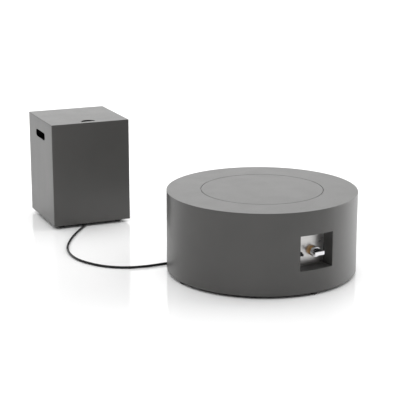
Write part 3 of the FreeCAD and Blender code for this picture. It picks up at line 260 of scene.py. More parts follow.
def holed_sheet(us, vs, holes, out, back, wrap=True):
    """A sheet between its faces out(u, v) and back(u, v), on a grid of u and v lines. Each hole (columns,
    rows, half width, half height, corner) takes the place of a block of cells: rings of points lead from
    the block's border to the hole's outline, a rectangle with round corners about the block's centre."""
    u, v = np.meshgrid(us, vs, indexing="ij")
    flat = [np.stack([u.ravel(), v.ravel()], 1)]
    index = np.arange(u.size).reshape(u.shape)
    cells = np.ones((len(us) if wrap else len(us) - 1, len(vs) - 1), bool)
    quads, used = [], u.size
    for (i0, i1), (j0, j1), half_u, half_v, corner in holes:
        cells[i0:i1, j0:j1] = False
        i, j = np.arange(i0, i1), np.arange(j0, j1)
        border = np.concatenate([index[i, j0], index[i1, j], index[i[::-1] + 1, j1], index[i0, j[::-1] + 1]])
        edge = flat[0][border]
        low, high = edge.min(0), edge.max(0)
        half = np.array([half_u, half_v])
        rim = (edge * 2 - low - high) / (high - low) * half
        past = np.abs(rim) - (half - corner)
        rounds = (past > 0).all(1)
        rim[rounds] = (np.sign(rim) * (half - corner + unit(past) * corner))[rounds]
        flat.append(rings_to((low + high) / 2 + rim, edge))
        loop = np.vstack([border, np.arange(used, used + len(flat[-1])).reshape(3, -1)])
        used += len(flat[-1])
        quads.append(bands(loop))
    i, j = np.nonzero(cells)
    n = (i + 1) % len(us)
    quads.append(np.stack([index[i, j], index[n, j], index[n, j + 1], index[i, j + 1]], 1))
    quads, flat = np.vstack(quads), np.vstack(flat)
    sides = np.stack([quads, np.roll(quads, -1, 1)], -1).reshape(-1, 2)
    place, count = np.unique(np.sort(sides, 1), axis=0, return_index=True, return_counts=True)[1:]
    rims = sides[place[count == 1]]
    rims = np.column_stack([rims, rims[:, ::-1] + used])
    return np.vstack([out(*flat.T), back(*flat.T)]), [quads, quads[:, ::-1] + used, rims]


def drum_face(radius, proud):
    """Point of a drum face: v is its height, and u the way round from the window's middle. Near the window
    u is the distance along X, so that the window's sides come out flat; at the back the weld stands proud."""
    start = math.asin(FLAT_PART / radius)

    def face(u, v):
        along = (np.abs(u) - FLAT_PART) / (HALF_ROUND - FLAT_PART)
        angle = np.where(along < 0, np.arcsin(np.clip(u, -FLAT_PART, FLAT_PART) / radius),
                         np.sign(u) * (start + along * (np.pi - start)))
        weld = proud * np.exp(-((HALF_ROUND - np.abs(u)) / 0.004) ** 2) * (1 + 0.3 * np.sin(1100 * v))
        return np.stack([(radius + weld) * np.sin(angle), -(radius + weld) * np.cos(angle), v], 1)

    return face


drum_coat = powder_coat("drum_powder_coat")
half_way = np.append(runs((0.110, HALF_ROUND - 0.012, 140)), HALF_ROUND - np.array([0.008, 0.005, 0.0025, 0]))
around_drum = np.concatenate([-half_way[::-1], runs((-0.104, 0.104, 27)), half_way[:-1]])
up_drum = runs((DRUM_FOOT, WINDOW_LOW - 0.012, 6), (WINDOW_LOW - 0.006, WINDOW_HIGH + 0.006, 24),
               (WINDOW_HIGH + 0.012, DRUM_TOP, 7))
window_columns = (len(half_way), len(half_way) + 26)
window_hole = (window_columns, (6, 29), WINDOW_HALF, WINDOW_TALL / 2, WINDOW_CORNER)
piece("drum", holed_sheet(around_drum, up_drum, [window_hole], drum_face(DRUM, 0.00025),
                          drum_face(DRUM - DRUM_SHEET, -0.0006)), drum_coat, "drum_wall", bevel=0.0005)


# Table top: a 4 mm steel plate with a dressed outer edge and the lid's round opening, welded to the wall.
MOUTH = 0.321
TURN = 2 * math.pi


def rounded(corners, radii, steps=6):
    """A line's corners as arcs of the given radii, tangent to both sides, with one more point on each side
    just past the arc, so that the shading of a flat side stays flat. A radius of 0 leaves the corner."""
    corners = np.asarray(corners, float)
    radii = np.broadcast_to(radii, len(corners))
    parts = []
    for before, corner, after, radius in zip(np.roll(corners, 1, 0), corners, np.roll(corners, -1, 0), radii):
        if radius == 0:
            parts.append(corner[None])
            continue
        sides = np.stack([before - corner, after - corner])
        lengths = np.linalg.norm(sides, axis=1)[:, None]
        sides /= lengths
        half = math.acos(np.clip(sides[0] @ sides[1], -1, 1)) / 2
        reach = radius / math.tan(half)
        middle = sides[0] + sides[1]
        centre = corner + middle / np.linalg.norm(middle) * radius / math.sin(half)
        past = np.clip((lengths / 2 - reach) * 0.5, 0, 0.25 * radius) * sides
        start, end = corner + sides * reach
        sweep = math.pi - 2 * half
        share = np.linspace(0, 1, steps + 1)[:, None]
        arc = centre + (np.sin((1 - share) * sweep) * (start - centre)
                        + np.sin(share * sweep) * (end - centre)) / math.sin(sweep)
        parts += [start[None] + past[0], arc, end[None] + past[1]]
    return np.vstack(parts)


def ring(inside, outside, low, high, radii=0.0):
    """Section of a ring, or of a disc where the inside is 0, from the inside of its foot round to its top."""
    return rounded([(inside, low), (outside, low), (outside, high), (inside, high)], radii)


def skin(grid, shut=True):
    """Points and faces of a grid of points whose rows close. Its last row may join its first."""
    rows = np.arange(grid[..., 0].size).reshape(grid.shape[:2])
    return grid.reshape(-1, 3), [bands(np.vstack([rows, rows[:1]]) if shut else rows)]


def angles(count):
    """Evenly spaced angles of a whole turn."""
    return np.linspace(0, TURN, count, endpoint=False)


def turned(profile, count, reach=None):
    """A line of (radius, height) points turned about an upright axis. A line that starts and ends on the
    axis closes there, and any other joins its ends. `reach` may change a radius by angle and height."""
    radius, height = np.asarray(profile, float).T[..., None]
    angle = angles(count)
    if reach:
        radius = reach(radius, angle, height)
    grid = np.broadcast_arrays(radius * np.cos(angle), radius * np.sin(angle), height)
    return skin(np.stack(grid, -1), profile[0][0] > 0 or profile[-1][0] > 0)


top_line = ring(MOUTH, DRUM, *span("table_top"), [0, 0.0003, 0.002, 0.0008])
piece("tabletop", turned(top_line, 360), drum_coat, "table_top")


# Lid: a loose 4 mm plate, flush with the table top, with a 3 mm seam round it and a softly dressed edge.
LID = MOUTH - 0.003
lid_coat = powder_coat("lid_powder_coat")
lid_line = ring(0, LID, *span("lid"), [0, 0.0004, 0.001, 0])
piece("lid_plate", turned(lid_line, 300), lid_coat, "lid", "lid")


# Control pocket: a box folded from 1.5 mm sheet behind the window, its front edge trimmed to the drum and its
# back edge turned in as a flange that the panel is nutted to.
PANEL_FACE = span("control_panel", 1)[0]
PANEL_BACK = PANEL_FACE + 0.002
POCKET_SHEET, POCKET_REACH, FLANGE = 0.0015, 0.4973, 0.018
window_middle = (WINDOW_LOW + WINDOW_HIGH) / 2
window_half = np.array([WINDOW_HALF, WINDOW_TALL / 2])


def split(line, most):
    """A closed line with points added, so that no side is longer than the given length."""
    after = np.roll(line, -1, 0)
    counts = np.maximum(1, np.ceil(np.linalg.norm(after - line, axis=1) / most)).astype(int)
    share = np.concatenate([np.arange(count) / count for count in counts])[:, None]
    return np.repeat(line, counts, 0) * (1 - share) + np.repeat(after, counts, 0) * share


def oblong(half_x, half_y, corner, steps=6):
    """Outline of a rectangle with round corners."""
    corners = np.array([(-1, -1), (1, -1), (1, 1), (-1, 1)]) * (half_x, half_y)
    return rounded(corners, corner, steps)


def folded_pocket():
    """The window's outline carried along the depth: from the drum's curve back to a bend and in as a flange,
    then the same way back, a sheet's thickness outside it. Each row is the outline grown by some length."""
    bend = np.sin(np.radians([0, 30, 60, 90]))
    turn_in = [(-0.0025 * (1 - c), PANEL_BACK - 0.0025 * (1 - s)) for s, c in zip(bend, bend[::-1])]
    turn_out = [(POCKET_SHEET - 0.004 * (1 - c), PANEL_BACK + POCKET_SHEET - 0.004 * (1 - s))
                for s, c in zip(bend[::-1], bend)]
    rows = [(0, None), (0, PANEL_BACK - 0.004), *turn_in, (-FLANGE, PANEL_BACK),
            (-FLANGE, PANEL_BACK + POCKET_SHEET), *turn_out, (POCKET_SHEET, PANEL_BACK - 0.005),
            (POCKET_SHEET, None)]
    outline = split(oblong(*window_half, WINDOW_CORNER), 0.008)
    grid = []
    for grow, depth in rows:
        x, z = (outline * (window_half + grow) / window_half).T
        y = -np.sqrt(POCKET_REACH ** 2 - x ** 2) if depth is None else np.full(len(x), depth)
        grid.append(np.stack([x, y, z + window_middle], 1))
    return skin(np.stack(grid))


# The drum's powder coat, its colour darkened to 0.6 as painted shade of the recess, and rougher.
piece("pocket", folded_pocket(), powder_coat("pocket_coat_painted_shade", 0.6, 0.45), "control_pocket")


# Control panel: 2 mm brushed stainless plate with round corners, the holes of the valve and the igniter, and
# four welded studs on its back.
KNOB_AT = (0.027, 0.207)
IGNITER_AT = (-0.045, 0.1974)
SPIGOT, NECK = 0.014, 0.009
HOLE_GAP, THREAD_GAP = 0.0003, 0.00005
FORWARD = np.array([(1, 0, 0), (0, 0, 1), (0, -1, 0)])


def moved(part, x=0.0, y=0.0, z=0.0, axes=np.eye(3)):
    """A part on other axes, such as FORWARD, on which its height runs along -Y, and then shifted."""
    points, faces = part
    return points @ axes + (x, y, z), faces


def at_front(part, x, z):
    """A part whose height becomes the distance out of the panel."""
    return moved(part, x, PANEL_FACE, z, FORWARD)


def from_panel(node):
    """From where to where a node goes at rest, out of the panel's face."""
    return tuple(round(PANEL_FACE - place, 6) for place in span(node, 1)[::-1])


def joined(*parts):
    """Points and faces of several parts as one."""
    points, faces, start = [], [], 0
    for some, blocks in parts:
        points.append(some)
        faces += [block + start for block in blocks]
        start += len(some)
    return np.vstack(points), faces


def circle(radius, count=48, centre=(0, 0)):
    """Outline of a round hole."""
    return radius * np.stack([np.cos(angles(count)), -np.sin(angles(count))], 1) + centre


def slab(outlines, low, high, soft, steps=3):
    """A flat plate between two heights whose edges are rounded. Every outline has the plate on its left; it
    is carried up through rows that draw in by a quarter circle at the top and at the foot."""
    turn = np.linspace(0, np.pi / 2, steps + 1)
    inset = soft * np.concatenate([[1.4], 1 - np.sin(turn), [0, 0], 1 - np.cos(turn), [1.4]])
    height = np.concatenate([[low], low + soft * (1 - np.cos(turn)), [low + 1.4 * soft, high - 1.4 * soft],
                             high - soft * (1 - np.sin(turn)), [high]])
    points, faces, used, ends = [], [], 0, ([], [])
    for outline in outlines:
        sides = unit(np.roll(outline, -1, 0) - outline)
        inward = (sides + np.roll(sides, 1, 0)) @ [(0, 1), (-1, 0)]
        inward /= np.maximum((inward ** 2).sum(1, keepdims=True), 1e-9) / 2
        grid = np.stack([np.column_stack([outline + inward * draw, np.full(len(outline), z)])
                         for draw, z in zip(inset, height)])
        rows = np.arange(grid[..., 0].size).reshape(grid.shape[:2]) + used
        faces.append(bands(rows))
        points.append(grid.reshape(-1, 3))
        ends[0].append((grid[0], rows[0]))
        ends[1].append((grid[-1], rows[-1]))
        used += rows.size
    for end in ends:
        fill = tessellate_polygon([[Vector(point) for point in line] for line, row in end])
        faces.append(np.concatenate([row for line, row in end])[np.array(fill)])
    return np.vstack(points), faces


def metal(name, slot, dark, light, rough, scale, stretch=(1, 1, 1), depth=0.00001, spread=0.06):
    """Bare metal: its colour and gloss vary with a noise, which makes brush lines where it is stretched."""
    made = Finish(name, slot, Metallic=1.0)
    lines = made.speckle(scale, 4.0, stretch, 0.65)
    cloud = made.sum("ADD", lines, made.speckle(25.0))
    return made.paint(made.between(lines, dark, light),
                      made.between(cloud, rough - spread, rough + spread, 0.7, 1.3), lines, depth)


def side(radius, low, high, count):
    """Points up one side of a section."""
    return [(radius, z) for z in np.linspace(low, high, count)]


def thread_wave(angle, z, pitch):
    """A wave from 0 to 1 that climbs with the angle, as a screw thread does."""
    return np.abs(((z / pitch - angle / TURN) % 1) * 2 - 1)


def threaded(radius, low, high, pitch, count=24):
    """Round bar with a screw thread, in which its radius dips by about half a pitch."""
    rows = side(radius, low + 0.0002, high - pitch, max(4, int((high - low) / pitch * 5)))
    line = [(0, low), (radius, low), *rows, (radius - 0.4 * pitch, high), (0, high)]

    def cut(r, angle, z):
        dip = 0.45 * pitch * thread_wave(angle, z, pitch)
        return np.where((r >= radius * 0.999) & (z > low), r - dip, r)

    return turned(line, count, cut)


brushed_panel = metal("brushed_panel_steel", "stainless", (0.58, 0.57, 0.56), (0.70, 0.69, 0.68), 0.30, 420.0,
                      (0.006, 1, 1), 0.000004, 0.03)
panel_holes = [circle(radius + HOLE_GAP, count, (x, z - window_middle))
               for radius, count, (x, z) in ((SPIGOT, 48, KNOB_AT), (NECK, 40, IGNITER_AT))]
panel_plate = slab([oblong(*(window_half - 0.0005), 0.002), *panel_holes], PANEL_FACE - PANEL_BACK, 0, 0.0003)
stud_across, stud_rise = window_half - 0.009
stud_places = [(x, z) for x in (-stud_across, stud_across) for z in (-stud_rise, stud_rise)]
panel_stud = threaded(0.002, -0.0115, -0.0019, 0.0007)
panel = joined(panel_plate, *[moved(panel_stud, x, z) for x, z in stud_places])
piece("panel", at_front(panel, 0, window_middle), brushed_panel, "control_panel")


# Panel nuts: small zinc-plated hexagon nuts behind the pocket's flange.
def hexagon(flats, angle):
    """Distance from a hexagon's centre to its side, by angle."""
    return flats / 2 / np.cos(angle % (np.pi / 3) - np.pi / 6)


def nut(flats, bore, low, high, count=72):
    """Hexagon nut with a countersunk bore. A flat cone cuts its corners at both ends, so that each column of
    points ends its side at the height where the cone reaches the hexagon."""
    sink, face = min(0.0006, 0.06 * flats), 0.47 * flats
    line = [(bore + sink, low), (face, low), (flats, low), (flats, high), (face, high), (bore + sink, high),
            (bore, high - sink), (bore, low + sink)]
    points, faces = turned(line, count, lambda r, angle, z: np.where(r == flats, hexagon(flats, angle), r))
    cut = (hexagon(flats, angles(count)) - face) / 1.75
    points[2 * count:3 * count, 2] += cut
    points[3 * count:4 * count, 2] -= cut
    return points, faces


zinc = metal("zinc_plate", "zinc_steel", (0.42, 0.43, 0.44), (0.58, 0.59, 0.60), 0.36, 120.0)
panel_nut = nut(0.007, 0.00205, *from_panel("panel_nuts"))
panel_nuts = joined(*[moved(panel_nut, x, z) for x, z in stud_places])
piece("panel_stud_nuts", at_front(panel_nuts, 0, window_middle), zinc, "panel_nuts")


# Valve collar: a turned brass ring that screws onto the valve's spigot and clamps the valve to the panel. Its
# outer face has grip grooves between two plain bands.
COLLAR = 0.025
brass = metal("machined_brass", "brass", (0.52, 0.30, 0.12), (0.76, 0.48, 0.23), 0.30, 200.0, depth=0.000008)


def with_rows(line, radius, low, high, count):
    """A section whose outer side, at the given radius, gets evenly spaced points."""
    at = np.flatnonzero(line[:, 0] > radius - 1e-6)
    return np.vstack([line[:at[0] + 1], side(radius, low, high, count), line[at[-1]:]])


def ribbed(radius, depth, count, fade):
    """Grooves along the axis in a section's outer side, whose depth a function fades by height."""
    return lambda r, angle, z: np.where(
        r > radius - 1e-5, r - depth * fade(z) * (0.5 - 0.5 * np.cos(count * angle)), r)


def smooth(share):
    """A share from 0 to 1 with soft ends."""
    share = np.clip(share, 0, 1)
    return share ** 2 * (3 - 2 * share)


collar_line = ring(SPIGOT + THREAD_GAP, COLLAR, *from_panel("valve_collar"), [0, 0.0006, 0.0014, 0.0006])
collar_grip = ribbed(COLLAR, 0.0007, 40, lambda z: smooth((0.0040 - np.abs(z - 0.007)) / 0.0016))
collar = turned(with_rows(collar_line, COLLAR, 0.0025, 0.0115, 21), 400, collar_grip)
piece("collar", at_front(collar, *KNOB_AT), brass, "valve_collar", sharp=50.0)


# Knob: chrome-plated zinc casting, a round skirt with a shallow groove and a bar grip across its face.
KNOB = 0.025
KNOB_HIGH = 0.038
KNOB_LOW, BAR_HIGH = from_panel("control_knob")
BAR = (0.0285, 0.010, 0.0025)
chrome = metal("polished_chrome", "chrome", (0.80, 0.80, 0.81), (0.86, 0.86, 0.87), 0.07, 60.0,
               depth=0.000002, spread=0.02)
knob_skirt = turned(rounded([
    (0.0045, KNOB_LOW), (KNOB, KNOB_LOW), (KNOB, KNOB_LOW + 0.005), (KNOB - 0.0008, KNOB_LOW + 0.006),
    (KNOB, KNOB_LOW + 0.007), (KNOB, KNOB_HIGH), (0.0045, KNOB_HIGH)],
    [0, 0.001, 0.0003, 0.0006, 0.0003, 0.0009, 0]), 144)
knob_bar = slab([oblong(*BAR, 8)], KNOB_HIGH - 0.0005, BAR_HIGH, 0.0016, 5)
knob_core = turned(ring(0, 0.006, KNOB_HIGH - 0.002, KNOB_HIGH + 0.001), 24)
knob = joined(knob_skirt, knob_bar, knob_core)
piece("knob_with_bar", at_front(knob, *KNOB_AT), chrome, "control_knob", "knob")
set_screw = moved(threaded(0.002, 0.004, 0.0244, 0.0007), z=(KNOB_LOW + KNOB_HIGH) / 2, axes=FORWARD)
piece("knob_set_screw", at_front(set_screw, *KNOB_AT), zinc, "knob_screw", "knob")


# Igniter: a moulded black body behind the panel, its threaded neck through it, a hexagon nut in front, and a
# round push button on a thin plunger.
moulded = rubber("moulded_black_plastic", "black_plastic", (0.018, 0.018, 0.019), 0.34)
igniter_low, igniter_high = from_panel("igniter_body")
igniter = joined(threaded(NECK, -0.002, igniter_high, 0.0015, 48),
                 turned(ring(0, 0.0115, igniter_low, -0.0021, [0, 0.0015, 0.0003, 0]), 64))
piece("igniter_barrel", at_front(igniter, *IGNITER_AT), moulded, "igniter_body")
igniter_nut = nut(0.022, NECK + THREAD_GAP, *from_panel("igniter_nut"))
piece("igniter_ring_nut", at_front(igniter_nut, *IGNITER_AT), moulded, "igniter_nut")
button_low, button_high = from_panel("igniter_button")
button = turned(rounded([
    (0, button_low), (0.0045, button_low), (0.0045, button_high - 0.008), (0.007, button_high - 0.008),
    (0.007, button_high), (0, button_high)], [0, 0.0003, 0.0004, 0.0006, 0.0026, 0]), 64)
piece("igniter_push_button", at_front(button, *IGNITER_AT), moulded, "igniter_button", "igniter_button")


# Foot of the table: a flat steel ring welded inside the drum, four moulded rubber glides with threaded studs
# that stand in it, and their nuts.
RING_INSIDE, RING_OUTSIDE, RING_HIGH = 0.4398, 0.4973, span("base_ring")[1]
FOOT, STUD = 0.020, 0.004
GLIDE_CIRCLE = 0.475
BEAD, SMALL_BEAD = 0.0022, 0.0018


def drops(way, scale):
    """A weld bead's girth by the way along it, which swells with each overlapping drop."""
    return 0.78 + 0.22 * np.abs(np.sin(way / scale * np.pi))


def bead(radius, height, size, start=0.0, sweep=TURN, scale=0.004):
    """A weld bead along a circle, as a thin round bar."""
    count = int(sweep * radius / (scale / 4))
    along = np.linspace(start, start + sweep, count, endpoint=sweep < TURN)[:, None]
    girth = size * drops(along * radius, scale)
    if sweep < TURN:
        girth[[0, -1]] = 0.0
    reach = radius + girth * np.cos(angles(10))
    grid = np.stack([reach * np.cos(along), reach * np.sin(along), height + girth * np.sin(angles(10))], -1)
    return skin(grid, sweep >= TURN)


def upright_turn(angle):
    """Axes turned by an angle about the upright one."""
    c, s = math.cos(angle), math.sin(angle)
    return np.array([[c, s, 0], [-s, c, 0], [0, 0, 1]])


def around(part, count, first=0.0):
    """Copies of a part turned about the upright axis, evenly spaced from a first angle in degrees."""
    turns = [upright_turn(math.radians(first) + k * TURN / count) for k in range(count)]
    return joined(*[moved(part, axes=axes) for axes in turns])


def glide(high):
    """A moulded foot: a domed tread, a ribbed side and a boss round its stud."""
    line = rounded([(0, 0.0006), (FOOT - 0.006, 0), (FOOT, 0.004), (FOOT, high), (0, high)],
                   [0, 0.002, 0.002, 0.0012, 0])
    ribs = ribbed(FOOT, 0.0006, 24, lambda z: np.clip((z - 0.0045) / 0.002, 0, 1)
                  * np.clip((high - 0.0015 - z) / 0.002, 0, 1))
    return turned(with_rows(line, FOOT, 0.006, high - 0.003, 5), 120, ribs)


def glides(kind, place, high, body="root", settled=lambda part: part):
    """Four glides, their studs and their nuts, as pieces at a place from their plate's middle."""
    stud = threaded(STUD, high - 0.002, span(kind + "_feet")[1], 0.00125, 32)
    stud_nut = nut(0.013, STUD + THREAD_GAP, *span(kind + "_foot_nuts"))
    for name, part, finish, node in (("glides", glide(high), glide_rubber, kind + "_feet"),
                                     ("glide_studs", stud, zinc, None),
                                     ("glide_nuts", stud_nut, zinc, kind + "_foot_nuts")):
        piece(f"{kind}_{name}", settled(around(moved(part, *place), 4)), finish, node, body)


ring_welds = around(bead(RING_OUTSIDE - 0.0012, RING_HIGH + 0.0004, BEAD, -0.045, 0.09), 12, 15.0)
ring_plate = turned(ring(RING_INSIDE, RING_OUTSIDE, *span("base_ring"), 0.0004), 256)
piece("base_ring_plate", joined(ring_plate, ring_welds), drum_coat, "base_ring")
glide_rubber = rubber("glide_rubber", "black_rubber", (0.020, 0.020, 0.020), 0.55)
glides("table", (GLIDE_CIRCLE, 0), DRUM_FOOT)


# Lid's bearing: a rolled shelf welded under the table top, where the pan hangs by its lip, six silicone pads
# stuck under the lid's rim, and a hoop welded under the lid that stiffens it and centres it in the pan.
SHELF_FROM, SHELF, SHELF_SHEET = 0.290, 0.324, 0.003
PAD_CIRCLE = 0.3025
HOOP, HOOP_SHEET = 0.281, 0.003
SEAM_HIGH = DRUM_TOP - 0.0008
shelf_low = span("lid_shelf")[0]
shelf_line = rounded([
    (SHELF_FROM, shelf_low), (SHELF, shelf_low), (SHELF, DRUM_TOP), (MOUTH, DRUM_TOP),
    (MOUTH, shelf_low + SHELF_SHEET), (SHELF_FROM, shelf_low + SHELF_SHEET)],
    [0.0005, 0.0015, 0.0004, 0.0004, 0.0008, 0.0005])
shelf_welds = around(bead(SHELF + 0.0008, SEAM_HIGH, SMALL_BEAD, -0.07, 0.14), 12)
piece("lid_shelf_ring", joined(turned(shelf_line, 256), shelf_welds), drum_coat, "lid_shelf")

pad_rubber = rubber("pad_silicone", "black_rubber", (0.030, 0.030, 0.031), 0.45)
pad = moved(turned(ring(0, 0.007, *span("lid_pads"), [0, 0.0003, 0.0008, 0]), 40), PAD_CIRCLE)
piece("lid_rest_pads", around(pad, 6), pad_rubber, "lid_pads", "lid")

hoop_line = ring(HOOP - HOOP_SHEET, HOOP, *span("lid_hoop"), [0.0006, 0.0006, 0.0002, 0.0002])
hoop = turned(hoop_line, 256)
hoop_welds = [around(bead(radius, SEAM_HIGH, SMALL_BEAD, -0.06, 0.12), 12, first)
              for radius, first in ((HOOP + 0.0005, 0.0), (HOOP - HOOP_SHEET - 0.0005, 15.0))]
piece("lid_stiffening_hoop", joined(hoop, *hoop_welds), lid_coat, "lid_hoop", "lid")


# Burner pan: pressed from 2 mm stainless sheet, with a bend at the floor, a lip that hangs on the shelf and
# eight drain holes.
PAN_SHEET = 0.002
PAN_BORE, PAN_WALL, PAN_LIP = 0.0103, 0.287, 0.317
pan_low, pan_high = span("burner_pan")
FLOOR_MIDDLE, LIP_MIDDLE = pan_low + PAN_SHEET / 2, pan_high - PAN_SHEET / 2
DRAIN_CIRCLE, DRAIN = 0.272, 0.006
DRAIN_CELLS = 0.009


def way_along(line):
    """Distance along a line, from 0 at its first point."""
    return np.append(0, np.cumsum(np.linalg.norm(np.diff(line, axis=0), axis=1)))


def offset(line, aside):
    """A line shifted by a length to its right."""
    return line + aside * unit(np.gradient(line, way_along(line), axis=0)) @ [(0, -1), (1, 0)]


def blocks(length, half, beside, count):
    """Lines of equal blocks laid end to end, each closer at its middle, where a hole of eight cells goes,
    and the columns of each hole."""
    low, high = length / 2 - half, length / 2 + half
    block = runs((0, low, beside), (low, high, 9), (high, length, beside))
    block = np.delete(block, (beside, beside + 9, -1))
    starts = np.arange(count) * len(block) + beside - 1
    return (np.arange(count)[:, None] * length + block).ravel(), [(start, start + 8) for start in starts]


pan_bend = rounded([
    (PAN_BORE, FLOOR_MIDDLE), (PAN_WALL, FLOOR_MIDDLE), (PAN_WALL, LIP_MIDDLE), (PAN_LIP, LIP_MIDDLE)],
    [0, 0.0045, 0.0045, 0], 8)
drain_from, drain_to = DRAIN_CIRCLE - DRAIN_CELLS, DRAIN_CIRCLE + DRAIN_CELLS
floor_steps = np.delete(runs((PAN_BORE, drain_from - 0.001, 12), (drain_from, drain_to, 9)), 11)
pan_line = np.vstack([[(x, FLOOR_MIDDLE) for x in floor_steps], pan_bend[1:]])
pan_way = way_along(pan_line) + PAN_BORE


def pan_face(side):
    """Point of the pan's upper (+1) or lower (-1) face: u is the way round on the drains' circle, and v is
    the distance along the middle of the sheet from the centre hole."""
    reach, height = offset(pan_line, -side * PAN_SHEET / 2).T

    def face(u, v):
        r, angle = np.interp(v, pan_way, reach), u / DRAIN_CIRCLE
        return np.stack([r * np.cos(angle), r * np.sin(angle), np.interp(v, pan_way, height)], -1)

    return face


pan_steel = metal("pan_stainless", "stainless", (0.34, 0.33, 0.31), (0.56, 0.55, 0.53), 0.34, 240.0,
                  (1, 1, 0.02))
around_pan, drain_columns = blocks(TURN * DRAIN_CIRCLE / 8, DRAIN_CELLS, 8, 8)
drains = [(columns, (11, 19), DRAIN, DRAIN, DRAIN) for columns in drain_columns]
piece("pan", holed_sheet(around_pan, pan_way, drains, pan_face(1), pan_face(-1)), pan_steel, "burner_pan",
      bevel=0.0002)


# Burner: two rings of stainless tube on four arms round a pressed hub, with gas ports drilled in them and a
# weld round each arm.
BURNER_AXIS = sum(span("burner")) / 2
OUTER_RING, INNER_RING = 0.150, 0.075
TUBE, ARM = 0.010, 0.0075
PORT, PORT_DEPTH = 0.0011, 0.003
SIDEWAYS = np.array([(0, 1, 0), (0, 0, 1), (1, 0, 0)])


def drilled(us, vs, holes, surface, hole, depth):
    """A closed skin on a grid whose u and v both wrap round, with blind holes. A hole (column, row) takes a
    block of four by four cells; rings lead from the block's border to a circle, then down and shut."""
    u, v = np.meshgrid(us, vs, indexing="ij")
    index = np.arange(u.size).reshape(u.shape)
    cells = np.ones(u.shape, bool)
    points, quads, used = [surface(u.ravel(), v.ravel(), 0.0)], [], u.size
    i = np.array([0, 1, 2, 3, 4, 4, 4, 4, 4, 3, 2, 1, 0, 0, 0, 0])
    j = np.roll(i, 4)
    fan = [(0, k, k + 1, k + 2) for k in range(1, 15, 2)]
    for column, row in holes:
        cells[column:column + 4, row:row + 4] = False
        edge = np.stack([us[column + i], vs[row + j]], 1)
        middle = (edge.min(0) + edge.max(0)) / 2
        rim = middle + unit(edge - middle) * hole
        points += [surface(*rings_to(rim, edge).T, 0.0), surface(*rim.T, depth)]
        loop = np.vstack([index[column + i, row + j], np.arange(used, used + 64).reshape(4, 16)])
        used += 64
        quads += [bands(loop), loop[-1][np.array(fan)]]
    i, j = np.nonzero(cells)
    n, m = (i + 1) % len(us), (j + 1) % len(vs)
    quads.append(np.stack([index[i, j], index[n, j], index[n, m], index[i, m]], 1))
    return np.vstack(points), quads


def burner_ring(radius, ports):
    """A tube bent into a ring, with ports drilled in turn on its outer and its inner shoulder."""
    def surface(u, v, depth):
        reach = radius + (TUBE - depth) * np.cos(v / TUBE)
        height = BURNER_AXIS + (TUBE - depth) * np.sin(v / TUBE)
        return np.stack([reach * np.cos(u / radius), reach * np.sin(u / radius), height], -1)

    holes = [(7 * k + 2, 1 if k % 2 else 7) for k in range(ports)]
    return drilled(angles(ports * 7) * radius, angles(24) * TUBE, holes, surface, PORT, PORT_DEPTH)


burner_steel = metal("burner_stainless", "stainless", (0.30, 0.28, 0.25), (0.52, 0.50, 0.46), 0.36, 60.0)
hub = turned(ring(0, 0.026, *span("burner"), [0, 0.0008, 0.004, 0]), 72)
arm_welds = [bead(ARM + 0.0006, at, 0.0016, scale=0.0028) for at in (0.0262, 0.0655, 0.0845, 0.1405)]
arm = moved(joined(turned(ring(0, ARM, 0.020, 0.148), 32), *arm_welds), z=BURNER_AXIS, axes=SIDEWAYS)
burner = joined(burner_ring(OUTER_RING, 60), burner_ring(INNER_RING, 30), hub, around(arm, 4))
piece("burner_rings", burner, burner_steel, "burner", sharp=40.0)


# Below the burner: a threaded nipple through the pan with its locknut, a brass mixer tube with air holes, and
# the jet's hexagonal holder.
NIPPLE = 0.010
MIXER, MIXER_BORE, AIR_HOLE = 0.014, 0.008, 0.005


def pipe(outer, bore, low, high, pitch, count=64):
    """A tube with a thread on its outside: a threaded bar whose ends open onto a bore."""
    points, faces = threaded(outer, low, high, pitch, count)
    rows = np.arange(len(points)).reshape(-1, count)
    points[rows[[0, -1]], :2] = bore * np.stack([np.cos(angles(count)), np.sin(angles(count))], -1)
    return points, faces + [bands(rows[[-1, 0]])]


def holed_tube(us, vs, holes, outside, inside, wrap=True):
    """The wall of an upright tube with holes: u is the way round on its outside, and v is the height."""
    def face(radius):
        return lambda u, v: np.stack([radius * np.cos(u / outside), radius * np.sin(u / outside), v], -1)

    return holed_sheet(us, vs, holes, face(outside), face(inside), wrap)


nipple = pipe(NIPPLE, 0.006, *span("burner_nipple"), 0.0018)
piece("burner_pipe_nipple", nipple, burner_steel, "burner_nipple")
locknut = nut(0.030, NIPPLE + THREAD_GAP, *span("burner_locknut"), 96)
piece("burner_pipe_locknut", locknut, zinc, "burner_locknut")
around_mixer = np.arange(48) * TURN * MIXER / 48
low, high = span("air_mixer")
up_mixer = [low, low + 0.0015, low + 0.006, *runs((0.2717, 0.2863, 9)), high - 0.006, high - 0.0015, high]
air_holes = [((12 * k + 2, 12 * k + 10), (3, 11), AIR_HOLE, AIR_HOLE, AIR_HOLE) for k in range(4)]
piece("air_mixer_tube", holed_tube(around_mixer, up_mixer, air_holes, MIXER, MIXER_BORE), brass, "air_mixer",
      bevel=0.0004)
piece("jet_holder", nut(0.022, 0.001, *span("gas_jet"), 96), brass, "gas_jet")


